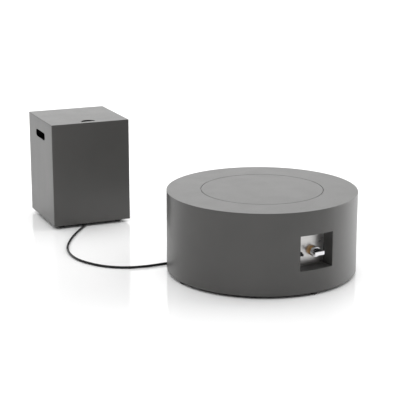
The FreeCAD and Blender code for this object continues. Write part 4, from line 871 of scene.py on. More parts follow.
# Heat shield: a flat zinc-plated disc with a round opening, on four shouldered studs under the pan.
SHIELD_HIGH, SHIELD_STUD = span("heat_shield")[1], 0.120
stud_low, stud_high = span("shield_studs")
shield = turned(ring(0.030, 0.150, *span("heat_shield"), 0.0004), 180)
piece("heat_shield_disc", shield, zinc, "heat_shield")
shoulder = turned(ring(0, 0.005, SHIELD_HIGH, stud_high, [0, 0.0006, 0.0003, 0]), 32)
shield_stud = moved(joined(shoulder, threaded(0.003, stud_low, SHIELD_HIGH + 0.0005, 0.001)), SHIELD_STUD)
piece("shield_shoulder_studs", around(shield_stud, 4, 45.0), zinc, "shield_studs")
shield_nut = moved(nut(0.010, 0.00305, *span("shield_nuts")), SHIELD_STUD)
piece("shield_hex_nuts", around(shield_nut, 4, 45.0), zinc, "shield_nuts")


# Ignition: a stainless strip on the pan's floor with a glazed, ribbed insulator round the spark rod, and the
# flame probe with its flange.
IGNITION = -0.176
PROBE_X = 0.028
STRIP_HIGH = span("ignition_bracket")[1]
SEAT_HIGH = STRIP_HIGH + 0.003
strip_outline = oblong(0.024, 0.010, 0.003) + (0.014, IGNITION)
strip_holes = [circle(0.0043, 32, (0, IGNITION)), circle(0.0028, 32, (PROBE_X, IGNITION))]
strip = slab([strip_outline, *strip_holes], *span("ignition_bracket"), 0.0003)
piece("ignition_strip", strip, brushed_panel, "ignition_bracket")

ceramic = Finish("glazed_ceramic", "white_ceramic", Specular_IOR_Level=0.6)
ceramic.paint(ceramic.between(ceramic.speckle(120.0), (0.62, 0.58, 0.50), (0.78, 0.75, 0.69)),
              ceramic.between(ceramic.speckle(300.0), 0.16, 0.34), ceramic.speckle(900.0), 0.00002)
low, high = span("electrode_ceramic")
insulator_line = [
    (0, low), (0.0034, low), (0.004, low + 0.0006), (0.004, STRIP_HIGH), (0.0066, STRIP_HIGH),
    (0.007, STRIP_HIGH + 0.0004), (0.007, SEAT_HIGH - 0.0004), (0.0066, SEAT_HIGH),
    (0.004, SEAT_HIGH + 0.0002)]
for rib in range(4):
    foot = SEAT_HIGH + 0.002 + 0.0032 * rib
    insulator_line += [(0.0032, foot), (0.0032, foot + 0.001), (0.004, foot + 0.0016), (0.004, foot + 0.0022)]
insulator_line += [(0.0036, high - 0.0075), (0.0036, high - 0.0012), (0.0026, high), (0, high)]
insulator = moved(turned(insulator_line, 40), y=IGNITION)
piece("spark_insulator", insulator, ceramic, "electrode_ceramic", sharp=50.0)


def tube(route, radius, bend=0.0, count=20, steps=10, swell=None, bore=0.0):
    """A round bar along a route in metres whose corners are arcs of the given bend. `swell` may scale its
    girth by the share of its length. With a bore it is a pipe, otherwise its ends are closed."""
    line = np.asarray(route, float)
    if bend:
        line = rounded(line, [0, *[bend] * (len(line) - 2), 0], steps)
    ahead = unit(np.gradient(line, axis=0))
    aside = np.cross(ahead[0], (0, 0, 1) if abs(ahead[0][2]) < 0.9 else (1, 0, 0))
    turn = angles(count)[:, None]
    rings = []
    for way in ahead:
        aside = unit(aside - way * (aside @ way))
        rings.append(np.cos(turn) * aside + np.sin(turn) * np.cross(way, aside))
    rings, middle = np.array(rings), line[:, None]
    share = way_along(line)
    girth = radius * (swell(share / share[-1])[:, None, None] if swell else 1)
    wall = middle + girth * rings
    if bore:
        return skin(np.vstack([wall, (middle + bore * rings)[::-1]]))
    cap = min(0.25 * radius, 0.0008)
    first, last = wall[:1] - cap * rings[:1], wall[-1:] - cap * rings[-1:]
    inward = ahead[[0, -1]] * cap * 0.6
    return skin(np.vstack([middle[:1] + 0 * rings[:1], first, wall[:1] + inward[0], wall[1:-1],
                           wall[-1:] - inward[1], last, middle[-1:] + 0 * rings[-1:]]), False)


bare_steel = metal("spark_steel", "stainless", (0.30, 0.29, 0.28), (0.50, 0.49, 0.48), 0.32, 200.0)
rod_route = [(0, IGNITION, 0.317), (0, IGNITION, 0.380), (0, IGNITION + 0.012, 0.386)]
piece("spark_rod", tube(rod_route, 0.0012, 0.003, 16), bare_steel, "electrode_rod")
low, high = span("flame_probe")
probe_line = rounded([
    (0, low), (0.0025, low), (0.0025, STRIP_HIGH), (0.005, STRIP_HIGH), (0.005, SEAT_HIGH),
    (0.0025, SEAT_HIGH), (0.0025, high), (0, high)],
    [0, 0.0004, 0.0001, 0.0005, 0.0005, 0.0004, 0.0022, 0])
piece("flame_probe_tip", moved(turned(probe_line, 32), PROBE_X, IGNITION), bare_steel, "flame_probe")

silicone = rubber("silicone_sleeve", "wire_sleeve", (0.36, 0.045, 0.025), 0.42)
wire_x, wire_z = IGNITER_AT
wire_route = [(wire_x, -0.3628, wire_z), (wire_x, -0.3108, wire_z), (wire_x / 2, -0.208, 0.2571),
              (0, IGNITION, 0.2848), (0, IGNITION, 0.3168)]
piece("spark_wire", tube(wire_route, 0.0025, 0.03), silicone, "ignition_wire")
copper = metal("drawn_copper", "copper", (0.50, 0.22, 0.11), (0.74, 0.40, 0.24), 0.30, 90.0)
knob_x, knob_z = KNOB_AT
lead_route = [(0.0442, -0.3825, knob_z), (0.0642, -0.3825, knob_z), (0.0642, -0.208, 0.2699),
              (PROBE_X, IGNITION, 0.3008), (PROBE_X, IGNITION, 0.3328)]
piece("flame_probe_lead", tube(lead_route, 0.0015, 0.03, 16), copper, "probe_lead")


# Lava stones: broken volcanic rock, each a lump with flattened and pitted sides on the place and of the size
# of one solid stone.
lava = Finish("lava_rock", "lava")
grains = lava.speckle(140.0, 6.0, rough=0.7)
pores = lava.sum("MINIMUM", *[lava.step("TexVoronoi", {"Vector": lava.place, "Scale": scale}, "Distance")
                              for scale in (150.0, 430.0)])
rock = lava.between(lava.speckle(22.0, 5.0), (0.055, 0.040, 0.034), (0.19, 0.135, 0.11))
# In the pores the rock's colour is darkened down to 0.3 as painted shade in the hollows.
pore_painted_shade = lava.between(pores, 0.30, 1.0, 0.12, 0.34)
lava.paint(lava.step("VectorMath", {0: rock, "Scale": pore_painted_shade}, operation="SCALE"),
           lava.between(grains, 0.78, 0.97, 0.0, 1.0),
           lava.sum("ADD", grains, lava.between(pores, 0.0, 1.3, 0.08, 0.36)), 0.0030)


def stone_boxes():
    """Lowest and highest corner of each solid stone: its mesh's connected parts."""
    work = bmesh.new()
    work.from_mesh(bpy.data.objects["lava_stones"].data)
    bmesh.ops.remove_doubles(work, verts=work.verts, dist=1e-5)
    left, boxes = set(work.verts), []
    while left:
        group, edge = [], [left.pop()]
        while edge:
            vert = edge.pop()
            group.append(vert.co)
            near = {other for link in vert.link_edges for other in link.verts} & left
            left -= near
            edge += near
        boxes.append((np.min(group, 0), np.max(group, 0)))
    work.free()
    return sorted(boxes, key=lambda pair: tuple(pair[0]))


def lump(low, high, number):
    """A sphere whose reach dips where eleven planes cut it and ripples with waves along fixed directions,
    scaled to the box from low to high."""
    chance = np.random.default_rng(100 + number)
    ball = bmesh.new()
    bmesh.ops.create_icosphere(ball, subdivisions=4, radius=1.0)
    ball.verts.ensure_lookup_table()
    points = np.array([vert.co for vert in ball.verts])
    faces = np.array([[vert.index for vert in face.verts] for face in ball.faces])
    ball.free()
    ways = unit(chance.normal(size=(11, 3)))
    cuts = chance.uniform(0.72, 0.95, 11)
    facing = points @ ways.T
    reach = np.min(np.where(facing > 0.05, cuts / np.maximum(facing, 0.05), 9.0), axis=1)
    reach = np.minimum(reach, 1.0) ** 0.9
    for size, scale in ((0.035, 4.0), (0.022, 9.0), (0.014, 19.0)):
        for way in chance.normal(size=(4, 3)):
            reach += size / 2 * np.sin(points @ way * scale + chance.uniform(0, TURN))
    points = points * reach[:, None]
    points = (points - points.min(0)) / np.ptp(points, axis=0) * (high - low) + low
    return points, [faces]


stones = [lump(low, high, number) for number, (low, high) in enumerate(stone_boxes())]
piece("lava_rocks", joined(*stones), lava, "lava_stones", sharp=60.0)


# Gas valve: a turned brass body clamped behind the panel, its spigot and its outlet threaded, bored for the
# plug, the spring's chamber and the stem, with a hexagonal inlet below; the stem carries the knob.
INLET_AT = (knob_x, -0.388)
OUTLET, VALVE_BODY, VALVE_PITCH = 0.009, 0.017, 0.0015
VALVE_BACK, VALVE_FRONT = from_panel("valve_body")
PLUG_BORE = 0.01005


def valve_threads(r, angle, z):
    """Screw threads on the outlet and the spigot."""
    on_outlet = (abs(r - OUTLET) < 1e-5) & (z < -0.0655)
    on_spigot = (abs(r - SPIGOT) < 1e-5) & (z > -0.0018)
    return np.where(on_outlet | on_spigot, r - 0.0007 * thread_wave(angle, z, VALVE_PITCH), r)


def flat_on_top(r, angle, z):
    """A shaft's single flat, 2.6 mm from its axis."""
    rise = np.maximum(np.sin(angle), 0.3)
    return np.where((rise > 0.3) & (r < 0.0042), np.minimum(r, 0.0026 / rise), r)


valve_line = rounded([
    (0.004, VALVE_BACK), (OUTLET, VALVE_BACK), *side(OUTLET, -0.0794, -0.066, 50), (OUTLET, -0.065),
    (VALVE_BODY, -0.065), (VALVE_BODY, -0.0021), (SPIGOT, -0.0021), *side(SPIGOT, -0.0015, 0.0134, 56),
    (SPIGOT, VALVE_FRONT), (0.0041, VALVE_FRONT), (0.0041, 0.006), (0.008, 0.006), (0.008, -0.010),
    (PLUG_BORE, -0.010), (PLUG_BORE, -0.051), (0.004, -0.051)],
    [0] * 53 + [0.0015, 0.0008] + [0] * 65)
valve = at_front(turned(valve_line, 96, valve_threads), *KNOB_AT)
inlet = joined(pipe(0.0110, 0.004, 0.178, 0.190, 0.0014, 48), nut(0.019, 0.004, 0.190, 0.1957))
piece("valve_casting", joined(valve, moved(inlet, *INLET_AT)), brass, "valve_body")
low, high = from_panel("valve_stem")
stem_line = rounded([
    (0, low), (0.004, low), (0.004, 0.0042), (0.0065, 0.0042), (0.0065, 0.0057), (0.004, 0.0057),
    (0.004, high), (0, high)], [0, 0.0006, 0.0001, 0.0003, 0.0003, 0.0001, 0.0006, 0])
piece("control_stem", at_front(turned(stem_line, 64, flat_on_top), *KNOB_AT), zinc, "valve_stem", "knob")


# Return spring behind the stem's shoulder: seven and a half turns of 1 mm wire, closed at both ends,
# made at its rest length with the knob out.
COIL, COIL_TURNS, WIRE = 0.00575, 7.5, 0.0005
coil_share = np.linspace(0, 1, 271)
coil_angle = COIL_TURNS * TURN * coil_share
low, high = from_panel("valve_spring")
coil_rise = np.interp(coil_share, [0, 0.12, 0.88, 1],
                      [low + WIRE, low + 3 * WIRE, high - 3 * WIRE, high - WIRE])
coil_route = np.stack([COIL * np.cos(coil_angle), COIL * np.sin(coil_angle), coil_rise], -1)
spring = piece("return_spring", at_front(tube(coil_route, WIRE, count=12), *KNOB_AT), zinc, "valve_spring")
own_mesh(spring)


# Rigid gas way: a bent copper pipe with a union nut at the valve and one under the jet.
GAS_PIPE, GAS_PIPE_BORE = 0.005, 0.0035
pipe_route = [(knob_x, -0.3348, knob_z), (knob_x, -0.2748, knob_z), (0, -0.090, 0.180),
              (0, 0, 0.180), (0, 0, 0.2438)]
piece("gas_pipe", tube(pipe_route, GAS_PIPE, 0.03, 32, 16, bore=GAS_PIPE_BORE), copper, "supply_pipe")
union_bore = GAS_PIPE + THREAD_GAP
piece("union_nuts", joined(at_front(nut(0.024, union_bore, -0.092, -0.068, 96), *KNOB_AT),
                           nut(0.019, union_bore, 0.226, 0.244, 96)), brass, "pipe_nuts")


# Hose ends: a swivel nut on the valve's inlet, a brass tail inside the hose, and a zinc-plated ferrule
# crimped over each end of the hose in three bands.
FERRULE, FERRULE_BORE, FERRULE_LENGTH = 0.0095, 0.00605, 0.024
PORT_HIGH, REGULATOR_AT = 0.392, 0.108
STATION = (-0.357, 1.444, 0)
COVER_TURN, ROW_TURN = math.radians(-8), math.radians(7)


def crimp(r, angle, z):
    """Three bands pressed in by eight jaws."""
    band = smooth(np.cos((z - FERRULE_LENGTH / 2) / 0.0064 * TURN) * 1.6 - 0.2)
    return np.where(r > FERRULE - 1e-6, r - band * (0.0006 + 0.0003 * np.cos(8 * angle)), r)


def at_station(part, turn=ROW_TURN):
    """Sets a part on the cylinder's station on the floor, turned as the row of valve and regulator is."""
    return moved(part, *STATION, upright_turn(turn))


swivel = nut(0.024, 0.00605, *span("swivel_nut"), 96)
piece("hose_swivel_nut", moved(swivel, *INLET_AT), brass, "swivel_nut")
barb = turned(ring(0.004, 0.006, *span("hose_tail"), 0.0003), 40)
piece("hose_barb", moved(barb, *INLET_AT), brass, "hose_tail")
ferrule_line = ring(FERRULE_BORE, FERRULE, 0, FERRULE_LENGTH, [0.0002, 0.0012, 0.0008, 0.0002])
ferrule = turned(with_rows(ferrule_line, FERRULE, 0.0025, 0.0215, 28), 96, crimp)
table_ferrule = moved(ferrule, *INLET_AT, span("hose_ferrules")[0])
tank_ferrule = at_station(moved(ferrule, REGULATOR_AT, -0.044, PORT_HIGH, FORWARD))
piece("crimped_ferrules", joined(table_ferrule, tank_ferrule), zinc, "hose_ferrules", sharp=60.0)


# Cover: 2 mm steel folded into an open box, with a flange turned in at the top and at the foot and a slot to
# lift it by in two sides. The foot's corners have gussets that carry the feet.
COVER_HALF, COVER_SHEET, COVER_CORNER = 0.236, 0.002, 0.003
COVER_LOW, COVER_HIGH = span("cover_shell")
WALL_MIDDLE = COVER_HALF - COVER_SHEET / 2
SLOT_MIDDLE, SLOT = 0.5287, (0.089, 0.022, 0.018)
FOOT_FLANGE, TOP_FLANGE = 0.209, 0.214
GLIDE_AT = (0.179, 0.179)


def at_cover(part):
    """From the cover's own axes to its place."""
    return at_station(part, COVER_TURN)


folds = rounded([
    (FOOT_FLANGE, COVER_LOW + 0.001), (WALL_MIDDLE, COVER_LOW + 0.001), (WALL_MIDDLE, COVER_HIGH - 0.001),
    (TOP_FLANGE, COVER_HIGH - 0.001)], [0, 0.002, 0.002, 0], 5)
slot_rows = runs((SLOT_MIDDLE - 0.030, SLOT_MIDDLE + 0.030, 17))
wall_rows = [*runs((0.040, 0.470, 12)), 0.488, *slot_rows, 0.570, 0.595]
foot_end = np.flatnonzero(folds[:, 1] < 0.03)[-1] + 1
folds = np.vstack([folds[:foot_end], [(WALL_MIDDLE, z) for z in wall_rows], folds[foot_end:]])
fold_way = way_along(folds)

side_points = [-0.215, -0.190, -0.160, -0.130, *runs((-0.104, 0.104, 27)), 0.130, 0.160, 0.190, 0.215]
turn = runs((0, TURN / 4, 7))
corner_arc = np.stack([np.sin(turn) - 1, 1 - np.cos(turn)], 1) * COVER_CORNER + (COVER_HALF, -COVER_HALF)
one_side = np.vstack([corner_arc, [(COVER_HALF, z) for z in side_points]]) / COVER_HALF
square = np.vstack([one_side @ upright_turn(k * TURN / 4)[:2, :2] for k in range(4)])
square_shut = np.vstack([square, square[:1]])
square_way = way_along(square_shut) * COVER_HALF


def cover_face(side):
    """Point of the cover's outer (+1) or inner (-1) face: u is the way round a square with round corners, and
    v is the distance along the fold from the foot flange's edge."""
    reach, height = offset(folds, side * COVER_SHEET / 2).T

    def face(u, v):
        r = np.interp(v, fold_way, reach)
        x, y = (r * np.interp(u, square_way, along) for along in square_shut.T)
        return np.stack([x, y, np.interp(v, fold_way, height)], -1)

    return face


cover_coat = powder_coat("cover_powder_coat")
slot_columns = [k * len(one_side) + len(corner_arc) + 4 for k in (0, 2)]
slots = [((start, start + 26), (foot_end + 13, foot_end + 29), *SLOT) for start in slot_columns]
cover_walls = holed_sheet(square_way[:-1], fold_way, slots, cover_face(1), cover_face(-1))
gusset_outline = np.array([(0, 0), (-0.110, 0), (0, -0.110)]) + FOOT_FLANGE
stud_hole = circle(STUD + HOLE_GAP, 24, GLIDE_AT)
gusset = slab([gusset_outline, stud_hole], COVER_LOW, COVER_LOW + COVER_SHEET, 0.0003)
piece("cover_box", at_cover(joined(cover_walls, around(gusset, 4))), cover_coat, "cover_shell", "cover",
      bevel=0.0004)
glides("cover", GLIDE_AT, COVER_LOW, "cover", at_cover)


# Cover's lid: a loose 3 mm plate with dressed edges and a half-round finger hole, over a frame of flat bar
# that is welded under it and centres it.
FINGER_HOLE = 0.044
FRAME, FRAME_BAR = 0.212, 0.003
WELD_HALF = 0.015
finger_arc = np.vstack([circle(FINGER_HOLE, 96)[48:], [(FINGER_HOLE, 0)]]) + (0, -0.198)
lid_outline = split(oblong(COVER_HALF, COVER_HALF, COVER_CORNER), 0.03)
lid_sheet = slab([lid_outline, finger_arc], *span("cover_lid"), 0.0008, 4)
piece("cover_lid_plate", at_cover(lid_sheet), cover_coat, "cover_lid", "cover_lid")

frame_inside = FRAME - FRAME_BAR
frame_outlines = [oblong(FRAME, FRAME, 0.0008, 2), oblong(frame_inside, frame_inside, 0.0005, 2)[::-1]]
frame_bars = slab(frame_outlines, *span("cover_lid_frame"), 0.0005)
weld_route = [(frame_inside - 0.0005, y, COVER_HIGH - 0.0006) for y in runs((-WELD_HALF, WELD_HALF, 30))]
frame_weld = tube(weld_route, SMALL_BEAD, count=10, swell=lambda share: drops(share * 2 * WELD_HALF, 0.004))
frame_welds = around(joined(*[moved(frame_weld, y=y) for y in (-0.13, 0, 0.13)]), 4)
locating_frame = at_cover(joined(frame_bars, frame_welds))
piece("cover_locating_frame", locating_frame, cover_coat, "cover_lid_frame", "cover_lid")


# Gas cylinder: two pressed halves welded round the middle with a joggle, a bung for the valve, and a light
# grey semi-gloss paint with faint scuffs.
TANK, TANK_LOW, TANK_HIGH = 0.155, 0.028, 0.3535
CROWN, KNUCKLE = 0.280, 0.030
WELD = 0.0028
BUNG, BUNG_HIGH = 0.022, span("cylinder_body")[1]
tank_middle = (TANK_LOW + TANK_HIGH) / 2
head_lean = math.asin((TANK - KNUCKLE) / (CROWN - KNUCKLE))
head_high = CROWN - (CROWN - KNUCKLE) * math.cos(head_lean)


def head(apex, way):
    """Half of a head's outline from its apex to the wall: a wide crown and a tight knuckle."""
    crown, knuckle = runs((0, head_lean, 24)), runs((head_lean, math.pi / 2, 14))[1:]
    r = np.append(CROWN * np.sin(crown), TANK - KNUCKLE + KNUCKLE * np.sin(knuckle))
    z = np.append(CROWN * (1 - np.cos(crown)), head_high - KNUCKLE * np.cos(knuckle))
    return np.column_stack([r, apex + way * z])


def weld_scales(r, angle, z):
    """The drops of the weld round the middle."""
    off = (z - tank_middle) / WELD
    return r - 0.0004 * np.exp(-off ** 2) * (0.5 - 0.5 * np.cos(220 * angle + 3 * off))


grey = Finish("cylinder_paint_coat", "cylinder_paint")
scuffs = grey.speckle(26.0, 6.0, (1, 1, 0.3), 0.7)
grey.paint(grey.between(scuffs, (0.40, 0.42, 0.44), (0.53, 0.55, 0.57), 0.32, 0.6),
           grey.between(scuffs, 0.46, 0.24, 0.35, 0.65), grey.speckle(350.0), 0.00003)

band = runs((-0.014, 0.014, 29))
joggle = TANK - 0.0012 * np.exp(-(band / 0.008) ** 2) + 0.0011 * np.exp(-(band / WELD) ** 2)
joint = np.column_stack([joggle, band + tank_middle])
tank_line = np.vstack([head(TANK_LOW, 1), joint, head(TANK_HIGH, -1)[::-1]])
bung = turned(ring(0, BUNG, 0.345, BUNG_HIGH, [0, 0.0005, 0.0015, 0]), 72)
bung_weld = bead(BUNG + 0.0008, TANK_HIGH - 0.0004, BEAD)
tank = joined(turned(tank_line, 440, weld_scales), bung, bung_weld)
piece("tank", at_station(tank, 0), grey, "cylinder_body")


# Foot ring: 3 mm steel rolled into a ring with six round vents, welded under the lower head.
FOOT_RING, RING_SHEET = 0.110, 0.003
VENT = 0.010


def head_rise(radius):
    """Height of a head's crown above its apex, at the inside of a ring of the given radius."""
    return CROWN - math.sqrt(CROWN ** 2 - (radius - RING_SHEET) ** 2) - 0.0002


foot_high = TANK_LOW + head_rise(FOOT_RING)
around_foot, vent_columns = blocks(TURN * FOOT_RING / 6, 0.015, 9, 6)
vent_rows = runs((foot_high / 2 - 0.014, foot_high / 2 + 0.014, 9))
up_foot = [0, 0.002, 0.006, *vent_rows, foot_high - 0.006, foot_high]
vents = [(columns, (3, 11), VENT, VENT, VENT) for columns in vent_columns]
foot_walls = holed_tube(around_foot, up_foot, vents, FOOT_RING, FOOT_RING - RING_SHEET)
foot_weld = bead(FOOT_RING + 0.0005, foot_high + 0.0006, BEAD)
piece("tank_foot_ring", at_station(joined(foot_walls, foot_weld), 0), grey, "cylinder_foot_ring",
      bevel=0.0008)


# Valve guard: 3 mm steel rolled round the valve, open towards the outlet, with two hand holes and soft edges.
GUARD, GUARD_HIGH = 0.103, span("valve_guard")[1]
GATE, HAND_TURN = math.radians(50), math.radians(115)
HAND_HIGH, HAND_HOLE = 0.423, (0.054, 0.017, 0.012)
HAND_CELLS = 0.062
guard_low = TANK_HIGH - head_rise(GUARD)
hole_from, hole_to = HAND_TURN * GUARD - HAND_CELLS, HAND_TURN * GUARD + HAND_CELLS
half_guard = runs((GATE * GUARD, hole_from, 6), (hole_from, hole_to, 25), (hole_to, math.pi * GUARD, 4))
half_guard = np.delete(half_guard, (5, 31))
around_guard = np.append(half_guard, (TURN * GUARD - half_guard[::-1])[1:])
hand_rows = runs((guard_low, 0.392, 6), (HAND_HIGH - 0.024, HAND_HIGH + 0.024, 13))
up_guard = [*hand_rows, 0.452, 0.4545, GUARD_HIGH]
hand_holes = [((first, first + 24), (6, 18), *HAND_HOLE) for first in (5, len(around_guard) - 30)]
guard_walls = holed_tube(around_guard, up_guard, hand_holes, GUARD, GUARD - RING_SHEET, wrap=False)
guard_weld = bead(GUARD + 0.0005, guard_low, BEAD, GATE, TURN - 2 * GATE)
piece("tank_valve_guard", at_station(joined(guard_walls, guard_weld)), grey, "valve_guard",
      bevel=0.0009)


# Cylinder valve: a waisted brass body screwed into the bung, with a gland nut, a threaded outlet and a relief
# valve across from it; a scalloped plastic handwheel sits on its spindle.
BONNET, BONNET_HIGH = 0.017, 0.4115
VALVE_LOW, VALVE_HIGH = span("cylinder_valve")
WHEEL = 0.032
WHEEL_LOW, WHEEL_HIGH = span("handwheel")
SCALLOP, SCALLOP_AT = 0.007, 0.0343


def scallops(r, angle, z):
    """Eight finger hollows: where a ray meets a hollow's circle, the rim draws in to it."""
    away = (angle + TURN / 16) % (TURN / 8) - TURN / 16
    cross = SCALLOP ** 2 - (SCALLOP_AT * np.sin(away)) ** 2
    rim = np.where(cross > 0, SCALLOP_AT * np.cos(away) - np.sqrt(np.maximum(cross, 0)), WHEEL)
    share = np.clip((r - 0.0245) / (WHEEL - 0.0245), 0, 1)
    return r + (np.minimum(rim, WHEEL) - WHEEL) * share


def hex_socket(r, angle, z):
    """The head's hexagon socket."""
    return np.where((r > 0.0028) & (r < 0.0034), np.minimum(hexagon(0.005, angle), 0.0034), r)


bonnet = turned(rounded([
    (0, BUNG_HIGH), (BONNET, BUNG_HIGH), (BONNET, 0.367), (0.0145, 0.369), (0.0145, 0.372), (BONNET, 0.376),
    (BONNET, 0.408), (0.0125, BONNET_HIGH), (0, BONNET_HIGH)],
    [0, 0.0005, 0.0008, 0.0008, 0.0008, 0.0015, 0.0015, 0.0008, 0], 4), 96)
gland = nut(0.0170, 0.0042, BONNET_HIGH, VALVE_HIGH)
neck = threaded(0.013, VALVE_LOW, BUNG_HIGH + 0.0002, 0.0018, 64)
outlet = joined(pipe(0.012, 0.004, 0.012, 0.038, 0.0018),
                turned(ring(0, 0.0135, 0.010, 0.019, [0, 0.0005, 0.0015, 0]), 64))
relief = turned(rounded([
    (0, 0.010), (0.0085, 0.010), (0.0085, 0.0185), (0.007, 0.0185), (0.007, 0.028), (0.0035, 0.028),
    (0.0035, 0.0255), (0, 0.0255)], [0, 0.0003, 0.0008, 0.0002, 0.0008, 0.0004, 0.0002, 0]), 64)
ports = [moved(part, z=PORT_HIGH, axes=SIDEWAYS * (way, 1, 1)) for part, way in ((outlet, 1), (relief, -1))]
piece("tank_valve", at_station(joined(bonnet, gland, neck, *ports)), brass, "cylinder_valve")
spindle = threaded(0.004, *span("valve_spindle"), 0.001)
piece("tank_valve_spindle", at_station(spindle), zinc, "valve_spindle", "handwheel")

wheel_plastic = rubber("handwheel_plastic", "black_plastic", (0.020, 0.020, 0.021), 0.42)
wheel_line = rounded([
    (0.0041, WHEEL_LOW), (0.012, WHEEL_LOW), (0.012, WHEEL_LOW + 0.005), (0.024, WHEEL_LOW + 0.005),
    (0.026, WHEEL_LOW), (WHEEL, WHEEL_LOW), (WHEEL, WHEEL_HIGH), (0.025, WHEEL_HIGH),
    (0.021, WHEEL_HIGH - 0.0035), (0.010, WHEEL_HIGH - 0.0035), (0.0085, WHEEL_HIGH), (0.0041, WHEEL_HIGH)],
    [0, 0.001, 0.001, 0.001, 0.001, 0.0025, 0.003, 0.002, 0.001, 0.001, 0.0008, 0], 5)
wheel = turned(wheel_line, 256, scallops)
piece("tank_handwheel", at_station(wheel), wheel_plastic, "handwheel", "handwheel", sharp=40.0)
screw_high = span("handwheel_screw")[1]
wheel_screw = turned(rounded([
    (0, WHEEL_HIGH), (0.007, WHEEL_HIGH), (0.007, screw_high), (0.003, screw_high),
    (0.003, WHEEL_HIGH + 0.001), (0, WHEEL_HIGH + 0.001)],
    [0, 0.0002, 0.0014, 0.0002, 0.0002, 0]), 72, hex_socket)
piece("tank_handwheel_screw", at_station(wheel_screw), zinc, "handwheel_screw", "handwheel")


# Regulator: a die-cast drum in two halves with a bolted joint, its inlet and outlet stubs, a knurled plastic
# cap and the brass coupling nut that joins it to the valve.
REGULATOR, CASTING, STUB = 0.034, 0.0318, 0.008
JOINT_LOW, JOINT_HIGH = PORT_HIGH - 0.0035, PORT_HIGH + 0.0035
CAST_LOW, CAST_HIGH = span("regulator_body")
CAP, CAP_HIGH = 0.026, span("regulator_cap")[1]

alloy = Finish("die_cast_alloy", "alloy", Metallic=1.0)
cast = alloy.speckle(480.0)
alloy.paint(alloy.between(alloy.speckle(40.0), (0.40, 0.40, 0.41), (0.54, 0.54, 0.55)),
            alloy.between(cast, 0.38, 0.56), cast, 0.00006)

casting = turned(rounded([
    (0, CAST_LOW), (CASTING, CAST_LOW), (CASTING, JOINT_LOW), (REGULATOR, JOINT_LOW), (REGULATOR, JOINT_HIGH),
    (CASTING, JOINT_HIGH), (CASTING, CAST_HIGH), (0, CAST_HIGH)],
    [0, 0.004, 0.0008, 0.0008, 0.0008, 0.0008, 0.004, 0], 5), 128)
joint_screw = turned(ring(0, 0.0026, JOINT_HIGH, JOINT_HIGH + 0.002, [0, 0.0002, 0.0008, 0]), 24)
inlet_stub = turned(ring(0, STUB, 0.0385, 0.080, [0, 0.0005, 0.0003, 0]), 48)
outlet_stub = turned(rounded([
    (0, 0.020), (STUB, 0.020), (STUB, 0.0438), (0.006, 0.0438), (0.006, 0.068), (0, 0.068)],
    [0, 0.0003, 0.0008, 0.0002, 0.0006, 0]), 48)
regulator = joined(moved(joined(casting, around(moved(joint_screw, 0.0310), 6, 30.0)), REGULATOR_AT),
                   moved(inlet_stub, z=PORT_HIGH, axes=SIDEWAYS),
                   moved(outlet_stub, REGULATOR_AT, 0, PORT_HIGH, FORWARD))
piece("regulator_casting", at_station(regulator), alloy, "regulator_body")

cap_line = rounded([
    (0, CAST_HIGH), (CAP, CAST_HIGH), (CAP, CAP_HIGH), (0.019, CAP_HIGH), (0.018, CAP_HIGH - 0.0012),
    (0, CAP_HIGH - 0.0012)], [0, 0.0004, 0.002, 0.0006, 0.0006, 0], 5)
knurl = ribbed(CAP, 0.0007, 48, lambda z: np.clip((z - CAST_HIGH - 0.0006) / 0.001, 0, 1))
cap = turned(with_rows(cap_line, CAP, CAST_HIGH + 0.0015, CAP_HIGH - 0.003, 6), 288, knurl)
piece("regulator_screw_cap", at_station(moved(cap, REGULATOR_AT)), wheel_plastic, "regulator_cap")
coupling = around(nut(0.030, STUB + THREAD_GAP, 0.032, 0.062, 120), 1, 30.0)
coupling = moved(coupling, z=PORT_HIGH, axes=SIDEWAYS)
piece("regulator_coupling_nut", at_station(coupling), brass, "coupling_nut")


# The plug, shut inside the gas valve, keeps its solid and gets the same brass.
for socket in bpy.data.objects["valve_plug"].material_slots:
    socket.material = brass.made


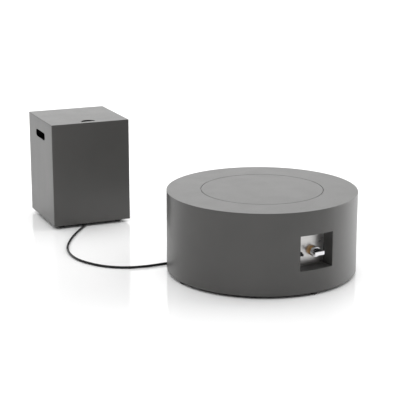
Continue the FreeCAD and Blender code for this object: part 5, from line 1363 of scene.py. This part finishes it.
# Studio: a pale glossy floor under a soft bright sky behind and overhead that fades to dark low down on the
# camera's side. It weakens to the camera's right, where a softbox stands, and a dark board faces the knob.
# What the camera, a glossy surface or glass sees of the floor has a whiter colour, and its shadows stay.
FLOOR_HALF = 80
FLOOR_COLOUR, FLOOR_SEEN = 0.86, 1.12
SKY_LIGHT, SKY_DARK, SOFTBOX = 1.40, 0.06, 2.4
floor_paint = Finish("floor_paint", Roughness=0.12)
path = floor_paint.step("LightPath").node.outputs
sent_on = floor_paint.sum("MAXIMUM", path["Is Glossy Ray"], path["Is Transmission Ray"])
seen = floor_paint.sum("MAXIMUM", path["Is Camera Ray"], sent_on)
floor_colour = floor_paint.between(seen, FLOOR_COLOUR, FLOOR_SEEN, 0.0, 1.0)
floor_paint.put(floor_paint.sockets["Base Color"], floor_colour)
ground = bpy.data.meshes.new("floor")
ground.from_pydata([(x * FLOOR_HALF, y * FLOOR_HALF, 0) for x, y in ((-1, -1), (1, -1), (1, 1), (-1, 1))], [],
                   [(0, 1, 2, 3)])
ground.materials.append(floor_paint.made)
floor = bpy.data.objects.new("floor", ground)
scene.collection.objects.link(floor)

world = bpy.data.worlds.new("studio")
world.use_nodes = True
scene.world = world
sky = Nodes(world.node_tree)
direction = sky.step("TexCoord", out="Generated")


def towards(way, start, end, low=0.0, high=1.0):
    """Goes from low to high as the cosine of a direction's angle to a fixed way goes from start to end."""
    along = sky.step("VectorMath", {0: direction, 1: way}, "Value", operation="DOT_PRODUCT")
    return sky.between(along, low, high, start, end)


lit = sky.sum("MAXIMUM", towards((0.70, 0.714, 0), -0.05, 0.45), towards((0, 0, 1), 0.36, 0.56))
lit = sky.sum("MULTIPLY", lit, towards((0.77, -0.64, 0), -0.13, 0.30, 1.0, 0.80))
level = sky.sum("ADD", sky.between(lit, SKY_DARK, SKY_LIGHT, 0.0, 1.0),
                towards((0.98, -0.19, 0), 0.70, 0.95, 0.0, SOFTBOX))
level = sky.sum("MULTIPLY", level, towards((0.60, -0.715, 0.36), 0.93, 0.98, 1.0, 0.0))
straight = sky.step("LightPath", out="Is Camera Ray")
background = sky.tree.nodes["Background"].inputs
background["Color"].default_value = (1, 1, 1, 1)
sky.put(background["Strength"], sky.step("Mix", {"Factor": straight, 2: level, 3: 1.0}, data_type="FLOAT"))
